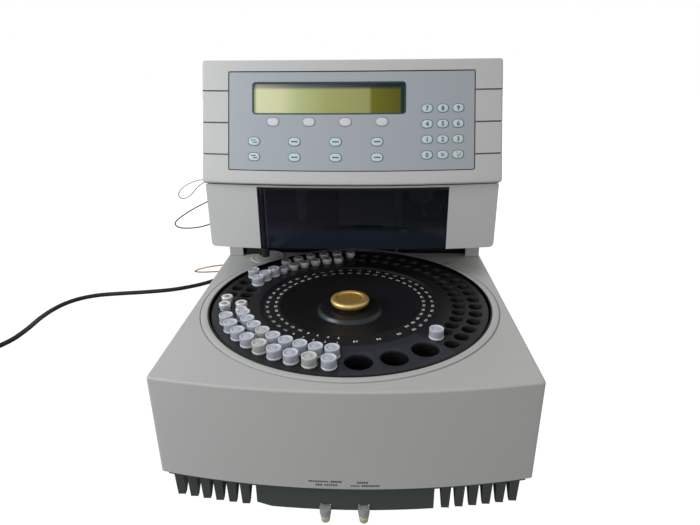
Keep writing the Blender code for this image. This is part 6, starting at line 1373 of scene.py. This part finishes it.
# Casing, rear panel and mechanism
# The folded steel casing carries everything behind the window. Inside it are the bulkhead with
# the arm's beam, the needle unit, the valve and the syringe.
casing_grey = textured_paint("casing_grey", shade(190, 190, 186), 0.52)
casing = recast("rear_casing", "rear_casing_sheet", casing_grey, 0.0007)
sheet_dark = textured_paint("dark_sheet", shade(58, 60, 60), 0.5)
black = textured_paint("black_satin", shade(30, 30, 34), 0.42, 1700, 0.00004)
arm_grey = textured_paint("arm_grey", shade(150, 153, 168), 0.4, 1700, 0.00004)
steel = bare_metal("machined_steel", shade(176, 176, 178), 0.3, 500, 0.24, 0.2)
brass = bare_metal("machined_brass", shade(206, 172, 96), 0.3, 500, 0.24, 0.2)
clear_glass, place, vary = finish("syringe_glass", shade(226, 234, 234), 0.05, alpha=0.4)
vary(roughness=0.04 + place.noise(200, 2) * 0.04)
for name, material, edge, body, slot in (
        ("rear_panel", sheet_dark, 0.0003, "instrument", "dark_sheet"),
        ("mechanism_frame", black, 0.0004, "instrument", "dark_sheet"),
        ("window_hinge", black, 0.0004, "instrument", "black_moulding"),
        ("tray_motor", black, 0.0004, "instrument", "black_moulding"),
        ("mains_inlet", black, 0.0004, "instrument", "black_moulding"),
        ("injection_valve", steel, 0.0003, "instrument", "steel"),
        ("syringe_barrel", clear_glass, 0.0002, "instrument", "syringe_glass"),
        ("needle_arm", arm_grey, 0.0005, "arm", "black_moulding"),
        ("needle_slider", arm_grey, 0.0005, "slider", "black_moulding"),
        ("needle", steel, 0.0, "slider", "steel"),
        ("valve_rotor", black, 0.0004, "rotor", "black_moulding"),
        ("syringe_plunger", steel, 0.0002, "plunger", "steel"),
        ("power_switch", black, 0.0004, "switch", "black_moulding"),
        ("cooling_fan", black, 0.0003, "fan", "black_moulding"),
        ("tray_hub", steel, 0.0002, "tray", "steel"),
        ("motor_pinion", brass, 0.0, "pinion", "brass")):
    recast(name, name + "_dressed", material, edge, 2, body)


# Rear screws
# Ten small pan-head screws hold the rear panel to the casing's flange. Each has a round recess.
SCREW_INSET = 0.0065
rear_low, rear_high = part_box("rear_panel")
HEAD_RADIUS, RECESS_FLOOR = 0.0033, 0.0007
screw_head = [(0, -0.0006), (HEAD_RADIUS, -0.0006), (HEAD_RADIUS, 0.0007), (0.0024, 0.0018),
              (0.0014, 0.0021), (0.0013, RECESS_FLOOR), (0, RECESS_FLOOR)]
screw_x = np.linspace(rear_low[0] + SCREW_INSET, rear_high[0] - SCREW_INSET, 3)
screw_z = np.linspace(rear_low[2] + SCREW_INSET, rear_high[2] - SCREW_INSET, 4)
screw_places = [(x, z) for x in screw_x for z in screw_z
                if x != screw_x[1] or z in (screw_z[0], screw_z[3])]
screw_head = rounded(screw_head, [0, 0, 0.0006, 0.0006, 0.0003, 0.0003, 0])
heads = [turned(screw_head, (x, rear_high[1], z), 24, axis="Y") for x, z in screw_places]
surface("rear_screws", heads, "instrument", steel)


# Valve capillaries
# Three fine clear tubes that curl from the valve's face round its side to the bulkhead, clear of
# the arm that slides in front.
CAPILLARY_THIN = 0.00055
VALVE_ROUTES = (
    ((0.0705, -0.0078, 0.2225), (0.0700, -0.0090, 0.2235), (0.0695, -0.0088, 0.2330),
     (0.0760, -0.0050, 0.2400), (0.0880, 0.0000, 0.2410), (0.0980, 0.0040, 0.2350),
     (0.1010, 0.0072, 0.2250), (0.1012, 0.0095, 0.2240)),
    ((0.0880, -0.0078, 0.2120), (0.0885, -0.0090, 0.2117), (0.0960, -0.0088, 0.2080),
     (0.1020, -0.0060, 0.1980), (0.0980, -0.0020, 0.1880), (0.0880, 0.0020, 0.1850),
     (0.0800, 0.0060, 0.1900), (0.0798, 0.0095, 0.1902)),
    ((0.0790, -0.0078, 0.2060), (0.0790, -0.0090, 0.2055), (0.0800, -0.0088, 0.1980),
     (0.0860, -0.0070, 0.1890), (0.0960, -0.0030, 0.1870), (0.1045, 0.0030, 0.1960),
     (0.1050, 0.0072, 0.2080), (0.1050, 0.0095, 0.2085)),
)
clear_tube = flecked("clear_tube", (226, 230, 238), 0.2, 900, 3, (236, 240, 248), (180, 186, 200),
                     coat_weight=0.5)
curls = [tube(smooth_route(np.array(route), 60), CAPILLARY_THIN, 10, (0.35, 0.9, 0.2))
         for route in VALVE_ROUTES]
surface("valve_capillaries", curls, "instrument", clear_tube)
